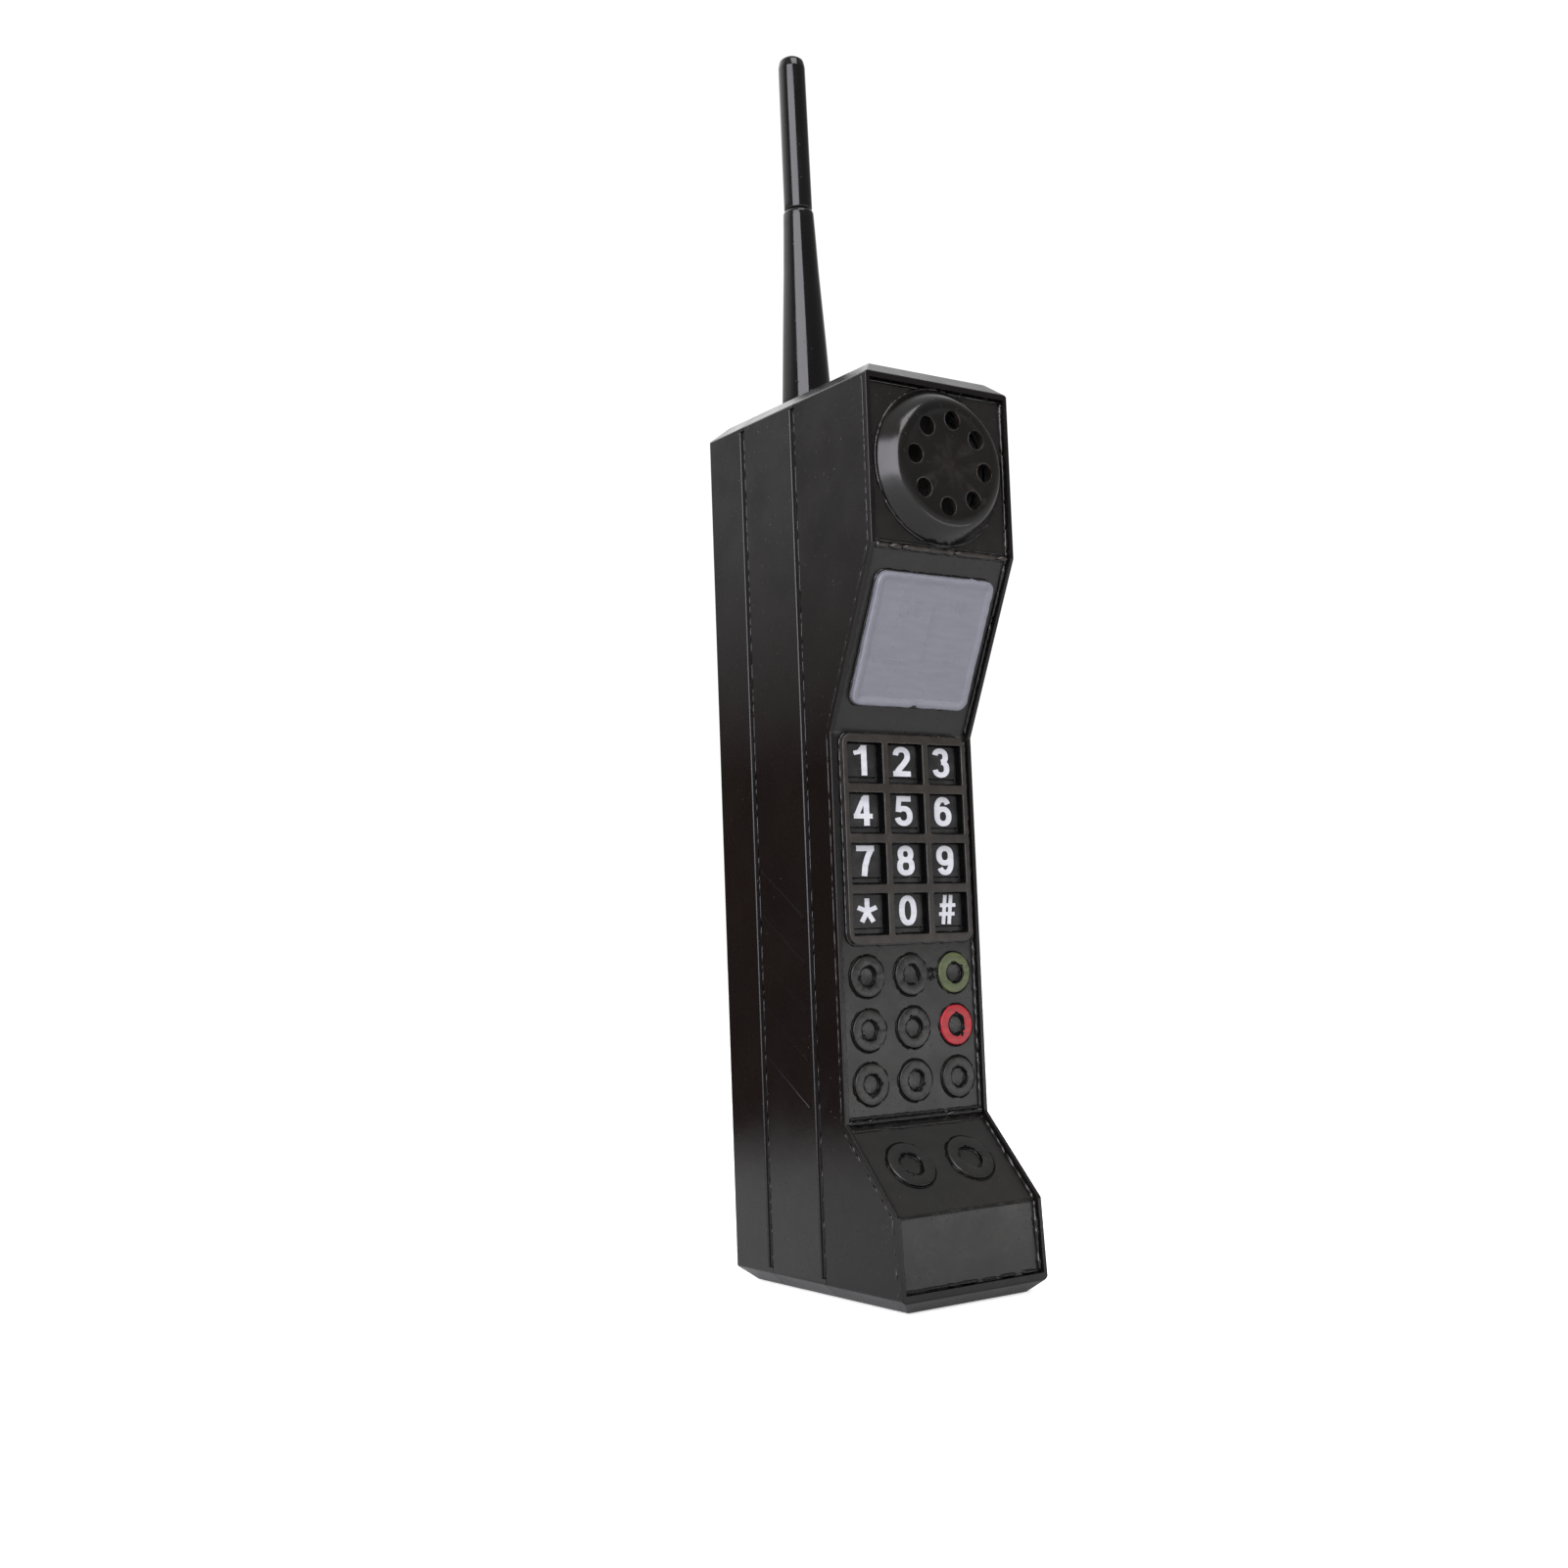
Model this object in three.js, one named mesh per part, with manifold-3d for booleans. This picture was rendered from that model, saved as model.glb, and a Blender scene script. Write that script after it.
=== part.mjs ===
// Toy cell phone: a tall brick-shaped handset with a stepped front, a round earpiece,
// a sloping display window, twelve digit keys, eleven ring buttons and a stub antenna.
// Units are millimetres. +Z is up, the front looks along -Y, +X is to the right of
// someone who looks at the front. The origin is the centre of the footprint.

import * as THREE from "three";
import { mergeVertices } from "three/addons/utils/BufferGeometryUtils.js";
import Module from "manifold-3d";

const wasm = await Module();
wasm.setup();

// ---------------------------------------------------------------- driving dimensions

const BODY = { halfWidth: 24.9, height: 250, rearY: 41, frontY: -37.2 };
const WALL = 2.4;
const TOP_EDGE = { height: 4, inset: 4.6 };
const REAR_EDGE_CHAMFER = 0.6;
const SEAM_GAP = 0.2;
const SEATING_GAP = 0.1;
const THROUGH = 8;

// The side profile of the front rim, from the lower edge upwards, as (y, z).
const RIM_PROFILE = [
  new THREE.Vector2(-36.4, 4),
  new THREE.Vector2(-35.2, 25),
  new THREE.Vector2(-14.8, 46.9),
  new THREE.Vector2(-14.8, 152.1),
  new THREE.Vector2(-36.6, 199.9),
  new THREE.Vector2(-36.8, 246),
];
const RIM = { width: 1.3, panelInset: 1.5 };
const PANEL = { thickness: 2.0, clearance: 0.1, lowZ: 5.3, highZ: 244.7 };
const FOLD_BAR = { halfHeight: 0.7, root: 1.9 };

// The two seams run round the body; on the side walls each one lies in a shallow groove.
const FRONT_SEAM_Y = -1.6;
const REAR_SEAM_Y = 23.7;
const GROOVE = { halfWidth: 2, depth: 1, lowZ: 5.5, highZ: 245 };
const CAVITY = { lowZ: 4.2, highZ: 245.8, frontY: -30, mouthLowZ: 6.4, mouthHighZ: 243.6 };

const SIDE_RIB = {
  count: 5,
  firstZ: 50.7,
  pitch: 12.7,
  slope: 0.68,
  frontY: 0.9,
  rearY: 21.2,
  halfWidth: 0.8,
  height: 0.45,
  root: 0.4,
};

const EARPIECE = { s: 23.2, baseRadius: 21.5, faceRadius: 17.4, height: 4.2, wall: 1.6, boreRadius: 18.2 };
const EARPIECE_HOLES = { count: 8, ringRadius: 12.1, radius: 2.25, phase: -6 };
const DISPLAY = { halfWidth: 20.2, lowS: 8, highS: 45.3, corner: 3, height: 0.5 };
const DISPLAY_LIP = { width: 2.3, depth: 0.4 };
const DISPLAY_OPENING = { halfWidth: 17, margin: 3.5 };

const KEYPAD = {
  x: 0.6,
  halfWidth: 21.6,
  lowZ: 94.6,
  highZ: 152.2,
  corner: 3,
  height: 0.3,
  ledge: 0.65,
  pitchX: 14.07,
  pitchZ: 13.8,
  topRowZ: 144.1,
  windowWidth: 12.1,
  windowHeight: 11.3,
};
const KEY = {
  clearance: 0.2,
  sink: 2.1,
  bevel: 0.9,
  bevelDepth: 0.6,
  flange: 0.45,
  reach: 1.7,
  travel: 1,
};
const KEY_ROWS = [
  ["key_1", "key_2", "key_3"],
  ["key_4", "key_5", "key_6"],
  ["key_7", "key_8", "key_9"],
  ["key_star", "key_0", "key_hash"],
];

const FUNCTION_BUTTON = { radius: 5.6, holeRadius: 2.75, x: 0.5, pitchX: 15.2 };
const FUNCTION_ROW_Z = [85.9, 71.4, 57.0];
const CHIN_BUTTON = { radius: 7.1, holeRadius: 3.5, s: 16.2 };
const CHIN_BUTTON_X = { chin_button_left: -10, chin_button_right: 10.5 };
const BUTTON = { clearance: 0.2, top: -0.75, flange: 1, dish: 0.9, reach: 1.7, travel: 0.8 };

const ANTENNA = {
  x: -9.5,
  y: 11,
  leanLeft: 0.39,
  leanBack: 0.29,
  baseRadius: 7.3,
  neckRadius: 4.3,
  neckHeight: 60,
  mastRadius: 3.8,
  tipHeight: 107.5,
  spigotRadius: 4,
  spigotDepth: 8,
};

const SPEAKER = { radius: 18, coneRadius: 15.6, magnetRadius: 10, magnetHeight: 6, depth: 9 };
const BOARD = { halfWidth: 21, lowZ: 45.5, highZ: 157, frontY: -6.1, thickness: 1.6 };
const MEMBRANE = { thickness: 1, domeRadius: 2.6, pressedGap: 0.3, halfWidth: 20.5 };
const CHIN_BOARD = { halfWidth: 22, lowS: 4, highS: 26, back: -9.8, front: -8.2 };
const CHIN_MEMBRANE = { halfWidth: 19.4, lowS: 5, highS: 25, back: -8.1 };
const CHIN_PEG = { x: 20.8, s: 15, radius: 0.9, back: -10.5, root: -3, clearance: 0.2 };

const CELL = { radius: 7.2, length: 49, nubRadius: 2.7, nubHeight: 1.5, x: 7.8, y: 30.4 };
const BATTERY_BOX = { halfWidth: 17.4, lowZ: 38.4, highZ: 98.6, frontY: 21.2, wall: 1.5 };
const DOOR = { halfWidth: 18.3, lowZ: 30.2, highZ: 104.8, thickness: 2.2, screwZ: 34 };

const POST = { x: 18.3, lowZ: 12, highZ: 238, radius: 3.4, frontY: -28, splitY: 11.9 };
const HOUSING_SCREW = { headRadius: 2.6, shankRadius: 1.4, headY: 20.1, headHeight: 2, tipY: -1.5 };
const BOARD_SCREW = { headRadius: 2, shankRadius: 1, headHeight: 1.4, tipY: -11.4, postRadius: 2.2 };
const DOOR_SCREW = { headRadius: 2.4, shankRadius: 1.1, tipY: 32, bossRadius: 3 };
const PILOT_CLEARANCE = 0.05;
const PILOT_SPARE = 0.8;
const BORE_CLEARANCE = 0.3;
const FAR = 60;
const BOARD_SCREW_Z = { board_screw_lower: 48.2, board_screw_upper: 154.4 };

const FINE = 24;
const ROUND = 18;
const SMALL = 12;
const MERGE_TOLERANCE = 1e-4;

// ---------------------------------------------------------------- materials

function plastic(colour, roughness) {
  return new THREE.MeshStandardMaterial({ color: colour, roughness, metalness: 0 });
}

function metal(colour, roughness) {
  return new THREE.MeshStandardMaterial({ color: colour, roughness, metalness: 1 });
}

const MATERIAL = {
  housing: plastic(0x34322f, 0.42),
  panel: plastic(0x33332f, 0.4),
  key: plastic(0x26262a, 0.35),
  button: plastic(0x2d2d2a, 0.3),
  green: plastic(0x4b5a32, 0.4),
  red: plastic(0xc82d32, 0.35),
  display: plastic(0x85858e, 0.35),
  antenna: plastic(0x161618, 0.15),
  rubber: plastic(0x6e6e70, 0.8),
  board: plastic(0x7a5a32, 0.6),
  chip: plastic(0x121212, 0.5),
  cone: plastic(0x3a3a38, 0.9),
  cell: plastic(0x39506b, 0.4),
  steel: metal(0xb8b8ba, 0.35),
  magnet: metal(0x707074, 0.5),
  wire: plastic(0x8a2a26, 0.5),
};

// ---------------------------------------------------------------- solids

// A closed geometry as a manifold-3d solid.
function toSolid(geometry) {
  const source = geometry.index ? geometry.toNonIndexed() : geometry;
  const bare = new THREE.BufferGeometry();
  bare.setAttribute("position", source.getAttribute("position"));
  const merged = mergeVertices(bare, MERGE_TOLERANCE);
  const vertProperties = merged.attributes.position.array;
  const triVerts = new Uint32Array(merged.index.array);
  return new wasm.Manifold(new wasm.Mesh({ numProp: 3, vertProperties, triVerts }));
}

// A manifold-3d solid as a three.js geometry.
function toGeometry(solid) {
  const result = solid.getMesh();
  const geometry = new THREE.BufferGeometry();
  geometry.setAttribute("position", new THREE.BufferAttribute(result.vertProperties, 3));
  geometry.setIndex(new THREE.BufferAttribute(result.triVerts, 1));
  geometry.computeVertexNormals();
  return geometry;
}

// The first geometry joined with the others.
function join(first, ...others) {
  let solid = toSolid(first);
  for (const other of others) {
    solid = solid.add(toSolid(other));
  }
  return toGeometry(solid);
}

// The first geometry with the others cut out of it.
function cut(first, ...others) {
  let solid = toSolid(first);
  for (const other of others) {
    solid = solid.subtract(toSolid(other));
  }
  return toGeometry(solid);
}

// What the geometries have in common.
function common(first, ...others) {
  let solid = toSolid(first);
  for (const other of others) {
    solid = solid.intersect(toSolid(other));
  }
  return toGeometry(solid);
}

function box(low, high) {
  const size = high.map((value, axis) => value - low[axis]);
  const centre = high.map((value, axis) => (value + low[axis]) / 2);
  return new THREE.BoxGeometry(...size).translate(...centre);
}

// A cylinder along Y at (x, z).
function rodAlongY(x, z, radius, lowY, highY, sides = SMALL) {
  const rod = new THREE.CylinderGeometry(radius, radius, highY - lowY, sides);
  return rod.translate(x, (lowY + highY) / 2, z);
}

// A body of revolution round Z. The outline is (radius, height), from the lower end of
// the axis outwards and back to the axis, or a closed loop in the same sense.
function turned(outline, sides) {
  const points = outline.map(([radius, height]) => new THREE.Vector2(radius, height));
  return new THREE.LatheGeometry(points, sides).rotateX(Math.PI / 2);
}

// A plate in X and Y with a given outline, from lowZ to highZ.
function plate(shape, lowZ, highZ, curveSegments = 2) {
  const options = { depth: highZ - lowZ, bevelEnabled: false, curveSegments };
  return new THREE.ExtrudeGeometry(shape, options).translate(0, 0, lowZ);
}

function roundedRectangle(lowX, lowY, highX, highY, radius) {
  const shape = new THREE.Shape();
  shape.moveTo(lowX + radius, lowY);
  shape.lineTo(highX - radius, lowY);
  shape.absarc(highX - radius, lowY + radius, radius, -Math.PI / 2, 0);
  shape.lineTo(highX, highY - radius);
  shape.absarc(highX - radius, highY - radius, radius, 0, Math.PI / 2);
  shape.lineTo(lowX + radius, highY);
  shape.absarc(lowX + radius, highY - radius, radius, Math.PI / 2, Math.PI);
  shape.lineTo(lowX, lowY + radius);
  shape.absarc(lowX + radius, lowY + radius, radius, Math.PI, Math.PI * 1.5);
  return shape;
}

// An outline of (y, z) points drawn out along X to both sides of the middle.
function alongX(points, halfWidth) {
  const options = { depth: 2 * halfWidth, bevelEnabled: false };
  const geometry = new THREE.ExtrudeGeometry(new THREE.Shape(points), options);
  const axes = new THREE.Matrix4().makeBasis(
    new THREE.Vector3(0, 1, 0),
    new THREE.Vector3(0, 0, 1),
    new THREE.Vector3(1, 0, 0),
  );
  return geometry.applyMatrix4(axes).translate(-halfWidth, 0, 0);
}

// ---------------------------------------------------------------- the stepped front

// The rim profile moved back into the body by a depth, corner by corner.
function profileAtDepth(depth) {
  const lines = RIM_PROFILE.slice(1).map((end, index) => {
    const along = end.clone().sub(RIM_PROFILE[index]).normalize();
    const inward = new THREE.Vector2(along.y, -along.x);
    return { start: RIM_PROFILE[index].clone().addScaledVector(inward, depth), along };
  });
  const lastLine = lines[lines.length - 1];
  const lastLength = RIM_PROFILE[RIM_PROFILE.length - 1].distanceTo(RIM_PROFILE[RIM_PROFILE.length - 2]);
  const corners = lines.slice(1).map((line, index) => {
    const before = lines[index];
    const across = line.start.clone().sub(before.start).cross(line.along);
    return before.start.clone().addScaledVector(before.along, across / before.along.cross(line.along));
  });
  return [
    lines[0].start,
    ...corners,
    lastLine.start.clone().addScaledVector(lastLine.along, lastLength),
  ];
}

// The part of a rising line of points between two heights.
function between(points, lowZ, highZ) {
  const pointAt = (z) => {
    const found = points.slice(1).findIndex((point) => point.y >= z);
    const index = found < 0 ? points.length - 2 : found;
    const start = points[index];
    const end = points[index + 1];
    return start.clone().lerp(end, (z - start.y) / (end.y - start.y));
  };
  const inside = points.filter((point) => point.y > lowZ && point.y < highZ);
  return [pointAt(lowZ), ...inside, pointAt(highZ)];
}

// A layer that follows the rim profile between two depths.
function frontLayer(outerDepth, innerDepth, lowZ, highZ, halfWidth) {
  const outer = between(profileAtDepth(outerDepth), lowZ, highZ);
  const inner = between(profileAtDepth(innerDepth), lowZ, highZ);
  return alongX([...outer, ...inner.reverse()], halfWidth);
}

// A group on one face of the front: X to the right, Y up the face from its lower fold,
// Z out of the face, with Z = 0 in the plane of the rim.
function faceGroup(lowerIndex) {
  const lower = RIM_PROFILE[lowerIndex];
  const upper = RIM_PROFILE[lowerIndex + 1];
  const group = new THREE.Group();
  group.position.set(0, lower.x, lower.y);
  group.rotation.x = Math.atan2(upper.y - lower.y, upper.x - lower.x);
  group.updateMatrixWorld(true);
  return group;
}

function placed(geometry, group) {
  return geometry.clone().applyMatrix4(group.matrixWorld);
}

const phone = new THREE.Group();
const chinFace = faceGroup(1);
const keyFace = faceGroup(2);
const displayFace = faceGroup(3);
const earFace = faceGroup(4);
phone.add(chinFace, keyFace, displayFace, earFace);

function addMesh(name, geometry, material, parent = phone, position = [0, 0, 0]) {
  const mesh = new THREE.Mesh(geometry, material);
  mesh.name = name;
  mesh.position.set(...position);
  parent.add(mesh);
}

const PANEL_FACE = -RIM.panelInset;
const PANEL_BACK = PANEL_FACE - PANEL.thickness;
const FLANGE_TOP = PANEL_BACK - SEATING_GAP;
const KEY_FACE_Y = RIM_PROFILE[2].x;
const KEY_FACE_LOW_Z = RIM_PROFILE[2].y;

// ---------------------------------------------------------------- housings

// The whole outer body before it is split: all edges of its top and bottom are
// chamfered, and so are its two upright rear edges.
function bodyBlock() {
  const { halfWidth, height, rearY, frontY } = BODY;
  const plan = new THREE.Shape([
    new THREE.Vector2(-halfWidth, frontY),
    new THREE.Vector2(halfWidth, frontY),
    new THREE.Vector2(halfWidth, rearY),
    new THREE.Vector2(-halfWidth, rearY),
  ]);
  const chamfered = new THREE.ExtrudeGeometry(plan, {
    depth: height - 2 * TOP_EDGE.height,
    bevelThickness: TOP_EDGE.height,
    bevelSize: TOP_EDGE.inset,
    bevelOffset: -TOP_EDGE.inset,
    bevelSegments: 1,
  }).translate(0, 0, TOP_EDGE.height);
  const corner = REAR_EDGE_CHAMFER;
  const trimmedPlan = new THREE.Shape([
    new THREE.Vector2(-halfWidth, frontY),
    new THREE.Vector2(halfWidth, frontY),
    new THREE.Vector2(halfWidth, rearY - corner),
    new THREE.Vector2(halfWidth - corner, rearY),
    new THREE.Vector2(-halfWidth + corner, rearY),
    new THREE.Vector2(-halfWidth, rearY - corner),
  ]);
  const upright = plate(trimmedPlan, 0, height);
  return common(chamfered, upright, profileBlock());
}

// Everything behind the rim profile, past the body on the other sides.
function profileBlock() {
  const spare = 10;
  const first = RIM_PROFILE[0];
  const last = RIM_PROFILE[RIM_PROFILE.length - 1];
  const farY = BODY.rearY + spare;
  const outline = [
    new THREE.Vector2(first.x, -spare),
    ...RIM_PROFILE,
    new THREE.Vector2(last.x, BODY.height + spare),
    new THREE.Vector2(farY, BODY.height + spare),
    new THREE.Vector2(farY, -spare),
  ];
  return alongX(outline, BODY.halfWidth + spare);
}

// The slice of the body between two seams, with the hollow taken out of it.
function shellSlice(lowY, highY) {
  const { halfWidth, height } = BODY;
  const slab = box([-halfWidth, lowY, 0], [halfWidth, highY, height]);
  const inner = halfWidth - WALL;
  const hollow = box([-inner, CAVITY.frontY, CAVITY.lowZ], [inner, BODY.rearY - WALL, CAVITY.highZ]);
  return cut(common(bodyBlock(), slab), hollow);
}

// Round-bottomed channels down both side walls at a seam.
function seamGrooves(seamY) {
  const { halfWidth, depth, lowZ, highZ } = GROOVE;
  const radius = (halfWidth ** 2 + depth ** 2) / (2 * depth);
  const x = BODY.halfWidth + radius - depth;
  return [-x, x].map((side) => {
    const channel = new THREE.CylinderGeometry(radius, radius, highZ - lowZ, FINE);
    return channel.rotateX(Math.PI / 2).translate(side, seamY, (lowZ + highZ) / 2);
  });
}

// The screw posts at the four corners of the body, for one range of Y.
function cornerPosts(makePost) {
  return [-POST.x, POST.x].flatMap((x) => [makePost(x, POST.lowZ), makePost(x, POST.highZ)]);
}

function postWeb(x, z, lowY, highY) {
  const halfThickness = 1;
  const overlap = 0.3;
  const top = z > BODY.height / 2;
  const lowZ = top ? z : CAVITY.lowZ - overlap;
  const highZ = top ? CAVITY.highZ + overlap : z;
  return box([x - halfThickness, lowY, lowZ], [x + halfThickness, highY, highZ]);
}

function frontHousing() {
  const seam = FRONT_SEAM_Y - SEAM_GAP / 2;
  const inner = BODY.halfWidth - WALL;
  const rebateDepth = RIM.panelInset + PANEL.thickness + PANEL.clearance;
  const seatZ = [PANEL.lowZ - PANEL.clearance, PANEL.highZ + PANEL.clearance];
  const rebate = frontLayer(-3, rebateDepth, ...seatZ, BODY.halfWidth - RIM.width);
  const mouth = box([-inner, -FAR, CAVITY.mouthLowZ], [inner, 0, CAVITY.mouthHighZ]);
  const shell = cut(shellSlice(BODY.frontY, seam), rebate, mouth, ...seamGrooves(FRONT_SEAM_Y));
  const posts = cornerPosts((x, z) => rodAlongY(x, z, POST.radius, POST.frontY, POST.splitY - SEAM_GAP));
  const webs = cornerPosts((x, z) => postWeb(x, z, POST.frontY, seam));
  const pilotRadius = HOUSING_SCREW.shankRadius + PILOT_CLEARANCE;
  const pilotEnd = HOUSING_SCREW.tipY - PILOT_SPARE;
  const pilots = cornerPosts((x, z) => rodAlongY(x, z, pilotRadius, pilotEnd, POST.splitY + 1));
  return cut(join(shell, ...posts, ...webs), ...pilots);
}

// One raised rib that slopes down towards the front on a side wall.
function sideRib(index, side) {
  const { firstZ, pitch, slope, frontY, rearY, halfWidth, height, root } = SIDE_RIB;
  const section = new THREE.Shape([
    new THREE.Vector2(-halfWidth, -root),
    new THREE.Vector2(halfWidth, -root),
    new THREE.Vector2(halfWidth, 0),
    new THREE.Vector2(halfWidth / 2, height),
    new THREE.Vector2(-halfWidth / 2, height),
    new THREE.Vector2(-halfWidth, 0),
  ]);
  const length = Math.hypot(rearY - frontY, (rearY - frontY) * slope);
  const rib = new THREE.ExtrudeGeometry(section, { depth: length, bevelEnabled: false });
  const along = new THREE.Vector3(0, 1, slope).normalize();
  const out = new THREE.Vector3(side, 0, 0);
  const across = out.clone().cross(along);
  rib.applyMatrix4(new THREE.Matrix4().makeBasis(across, out, along));
  return rib.translate(side * BODY.halfWidth, frontY, firstZ + pitch * index + slope * frontY);
}

function middleHousing() {
  const slice = shellSlice(FRONT_SEAM_Y + SEAM_GAP / 2, REAR_SEAM_Y - SEAM_GAP / 2);
  const spigotHole = turned(
    [
      [0, -2 * ANTENNA.spigotDepth],
      [ANTENNA.spigotRadius + BUTTON.clearance, -2 * ANTENNA.spigotDepth],
      [ANTENNA.spigotRadius + BUTTON.clearance, ANTENNA.spigotDepth],
      [0, ANTENNA.spigotDepth],
    ],
    ROUND,
  );
  const grooves = [...seamGrooves(FRONT_SEAM_Y), ...seamGrooves(REAR_SEAM_Y)];
  const shell = cut(slice, ...grooves, placed(spigotHole, antennaGroup));
  const ribs = [];
  for (let index = 0; index < SIDE_RIB.count; index += 1) {
    ribs.push(sideRib(index, 1), sideRib(index, -1));
  }
  return join(shell, ...ribs);
}

function rearCover() {
  const seam = REAR_SEAM_Y + SEAM_GAP / 2;
  const shell = cut(shellSlice(seam, BODY.rearY), ...seamGrooves(REAR_SEAM_Y));
  const innerWallY = BODY.rearY - WALL;
  const posts = cornerPosts((x, z) => rodAlongY(x, z, POST.radius, POST.splitY, innerWallY + 0.5));
  const webs = cornerPosts((x, z) => postWeb(x, z, seam, innerWallY + 0.5));
  const head = HOUSING_SCREW.headRadius + BORE_CLEARANCE;
  const bore = HOUSING_SCREW.shankRadius + BORE_CLEARANCE;
  const seatY = HOUSING_SCREW.headY - SEATING_GAP;
  const bores = cornerPosts((x, z) => rodAlongY(x, z, bore, 0, seatY + 1));
  const sinks = cornerPosts((x, z) => rodAlongY(x, z, head, seatY, BODY.rearY + 1, ROUND));
  const gap = SEAM_GAP;
  const doorway = box(
    [-DOOR.halfWidth - gap, innerWallY - 1, DOOR.lowZ - gap],
    [DOOR.halfWidth + gap, BODY.rearY + 1, DOOR.highZ + gap],
  );
  return cut(join(shell, ...posts, ...webs), ...bores, ...sinks, doorway);
}

// ---------------------------------------------------------------- front panel

function functionButtonPlaces() {
  const { x, pitchX } = FUNCTION_BUTTON;
  return FUNCTION_ROW_Z.flatMap((z) => [-1, 0, 1].map((column) => [x + column * pitchX, z]));
}

function hole(x, s, radius) {
  const outline = [[0, -THROUGH], [radius, -THROUGH], [radius, THROUGH], [0, THROUGH]];
  return turned(outline, ROUND).translate(x, s, 0);
}

// The pegs beside the chin's buttons that carry the small board, between two heights.
function pegs(radius, back, front) {
  const outline = [[0, back], [radius, back], [radius, front], [0, front]];
  return [-CHIN_PEG.x, CHIN_PEG.x].map((x) => turned(outline, SMALL).translate(x, CHIN_PEG.s, 0));
}

function frontPanel() {
  const halfWidth = BODY.halfWidth - RIM.width - PANEL.clearance;
  const depth = RIM.panelInset + PANEL.thickness;
  const skin = frontLayer(RIM.panelInset, depth, PANEL.lowZ, PANEL.highZ, halfWidth);
  const bars = [RIM_PROFILE[2].y, RIM_PROFILE[4].y].map((z) =>
    frontLayer(0, FOLD_BAR.root, z - FOLD_BAR.halfHeight, z + FOLD_BAR.halfHeight, halfWidth),
  );
  const boardPosts = Object.values(BOARD_SCREW_Z).map((z) =>
    rodAlongY(0, z, BOARD_SCREW.postRadius, KEY_FACE_Y + RIM.panelInset + 1, BOARD.frontY - SEATING_GAP),
  );
  const chinPegs = pegs(CHIN_PEG.radius, CHIN_PEG.back, CHIN_PEG.root);
  const functionHoles = functionButtonPlaces().map(([x, z]) =>
    placed(hole(x, z - KEY_FACE_LOW_Z, FUNCTION_BUTTON.radius + BUTTON.clearance), keyFace),
  );
  const chinHoles = Object.values(CHIN_BUTTON_X).map((x) =>
    placed(hole(x, CHIN_BUTTON.s, CHIN_BUTTON.radius + BUTTON.clearance), chinFace),
  );
  const ledge = KEYPAD.ledge;
  const keyWindow = box(
    [KEYPAD.x - KEYPAD.halfWidth + ledge, KEY_FACE_Y - THROUGH, KEYPAD.lowZ + 2 * ledge],
    [KEYPAD.x + KEYPAD.halfWidth - ledge, KEY_FACE_Y + THROUGH, KEYPAD.highZ - 2 * ledge],
  );
  const opening = DISPLAY_OPENING;
  const displayWindow = box(
    [-opening.halfWidth, DISPLAY.lowS + opening.margin, -THROUGH],
    [opening.halfWidth, DISPLAY.highS - opening.margin, THROUGH],
  );
  const pilotRadius = BOARD_SCREW.shankRadius + PILOT_CLEARANCE;
  const pilots = Object.values(BOARD_SCREW_Z).map((z) =>
    rodAlongY(0, z, pilotRadius, BOARD_SCREW.tipY - PILOT_SPARE, BOARD.frontY + 1),
  );
  return cut(
    join(skin, ...bars, ...boardPosts, ...chinPegs.map((peg) => placed(peg, chinFace))),
    ...functionHoles,
    ...chinHoles,
    ...pilots,
    keyWindow,
    placed(displayWindow, displayFace),
    placed(hole(0, EARPIECE.s, EARPIECE.boreRadius), earFace),
  );
}

// ---------------------------------------------------------------- earpiece and speaker

function earpieceCover() {
  const { baseRadius, faceRadius, height, wall } = EARPIECE;
  const seat = PANEL_FACE + SEATING_GAP;
  const cup = turned(
    [
      [0, height - wall],
      [faceRadius - wall, height - wall],
      [baseRadius - 2.4, seat],
      [baseRadius, seat],
      [baseRadius, seat + 0.7],
      [faceRadius + 0.7, height - 0.6],
      [faceRadius, height],
      [0, height],
    ],
    1.5 * FINE,
  );
  const holes = [];
  for (let index = 0; index < EARPIECE_HOLES.count; index += 1) {
    const angle = THREE.MathUtils.degToRad(EARPIECE_HOLES.phase + (index * 360) / EARPIECE_HOLES.count);
    const x = EARPIECE_HOLES.ringRadius * Math.cos(angle);
    const s = EARPIECE_HOLES.ringRadius * Math.sin(angle);
    const radius = EARPIECE_HOLES.radius;
    holes.push(turned([[0, 0], [radius, 0], [radius, 8], [0, 8]], SMALL).translate(x, s, 0));
  }
  return cut(cup, ...holes);
}

function addSpeaker() {
  const { radius, coneRadius, magnetRadius, magnetHeight, depth } = SPEAKER;
  const front = PANEL_BACK - SEATING_GAP;
  const place = [0, EARPIECE.s, 0];
  const basket = turned(
    [
      [magnetRadius - 1, front - depth],
      [magnetRadius + 1, front - depth],
      [radius, front - 1.5],
      [radius, front],
      [coneRadius + 0.5, front],
      [coneRadius + 0.5, front - 1.5],
      [magnetRadius - 1, front - depth + 1],
      [magnetRadius - 1, front - depth],
    ],
    ROUND,
  );
  const cone = turned(
    [
      [0, front - 4.6],
      [4.5, front - 4.6],
      [coneRadius, front - 1.4],
      [coneRadius, front - 0.6],
      [4.5, front - 3.6],
      [0, front - 2.4],
    ],
    ROUND,
  );
  const magnet = turned(
    [
      [0, front - depth - magnetHeight],
      [magnetRadius, front - depth - magnetHeight],
      [magnetRadius, front - depth - SEATING_GAP],
      [0, front - depth - SEATING_GAP],
    ],
    ROUND,
  );
  addMesh("speaker_basket", basket, MATERIAL.steel, earFace, place);
  addMesh("speaker_cone", cone, MATERIAL.cone, earFace, place);
  addMesh("speaker_magnet", magnet, MATERIAL.magnet, earFace, place);
}

// ---------------------------------------------------------------- display

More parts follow.
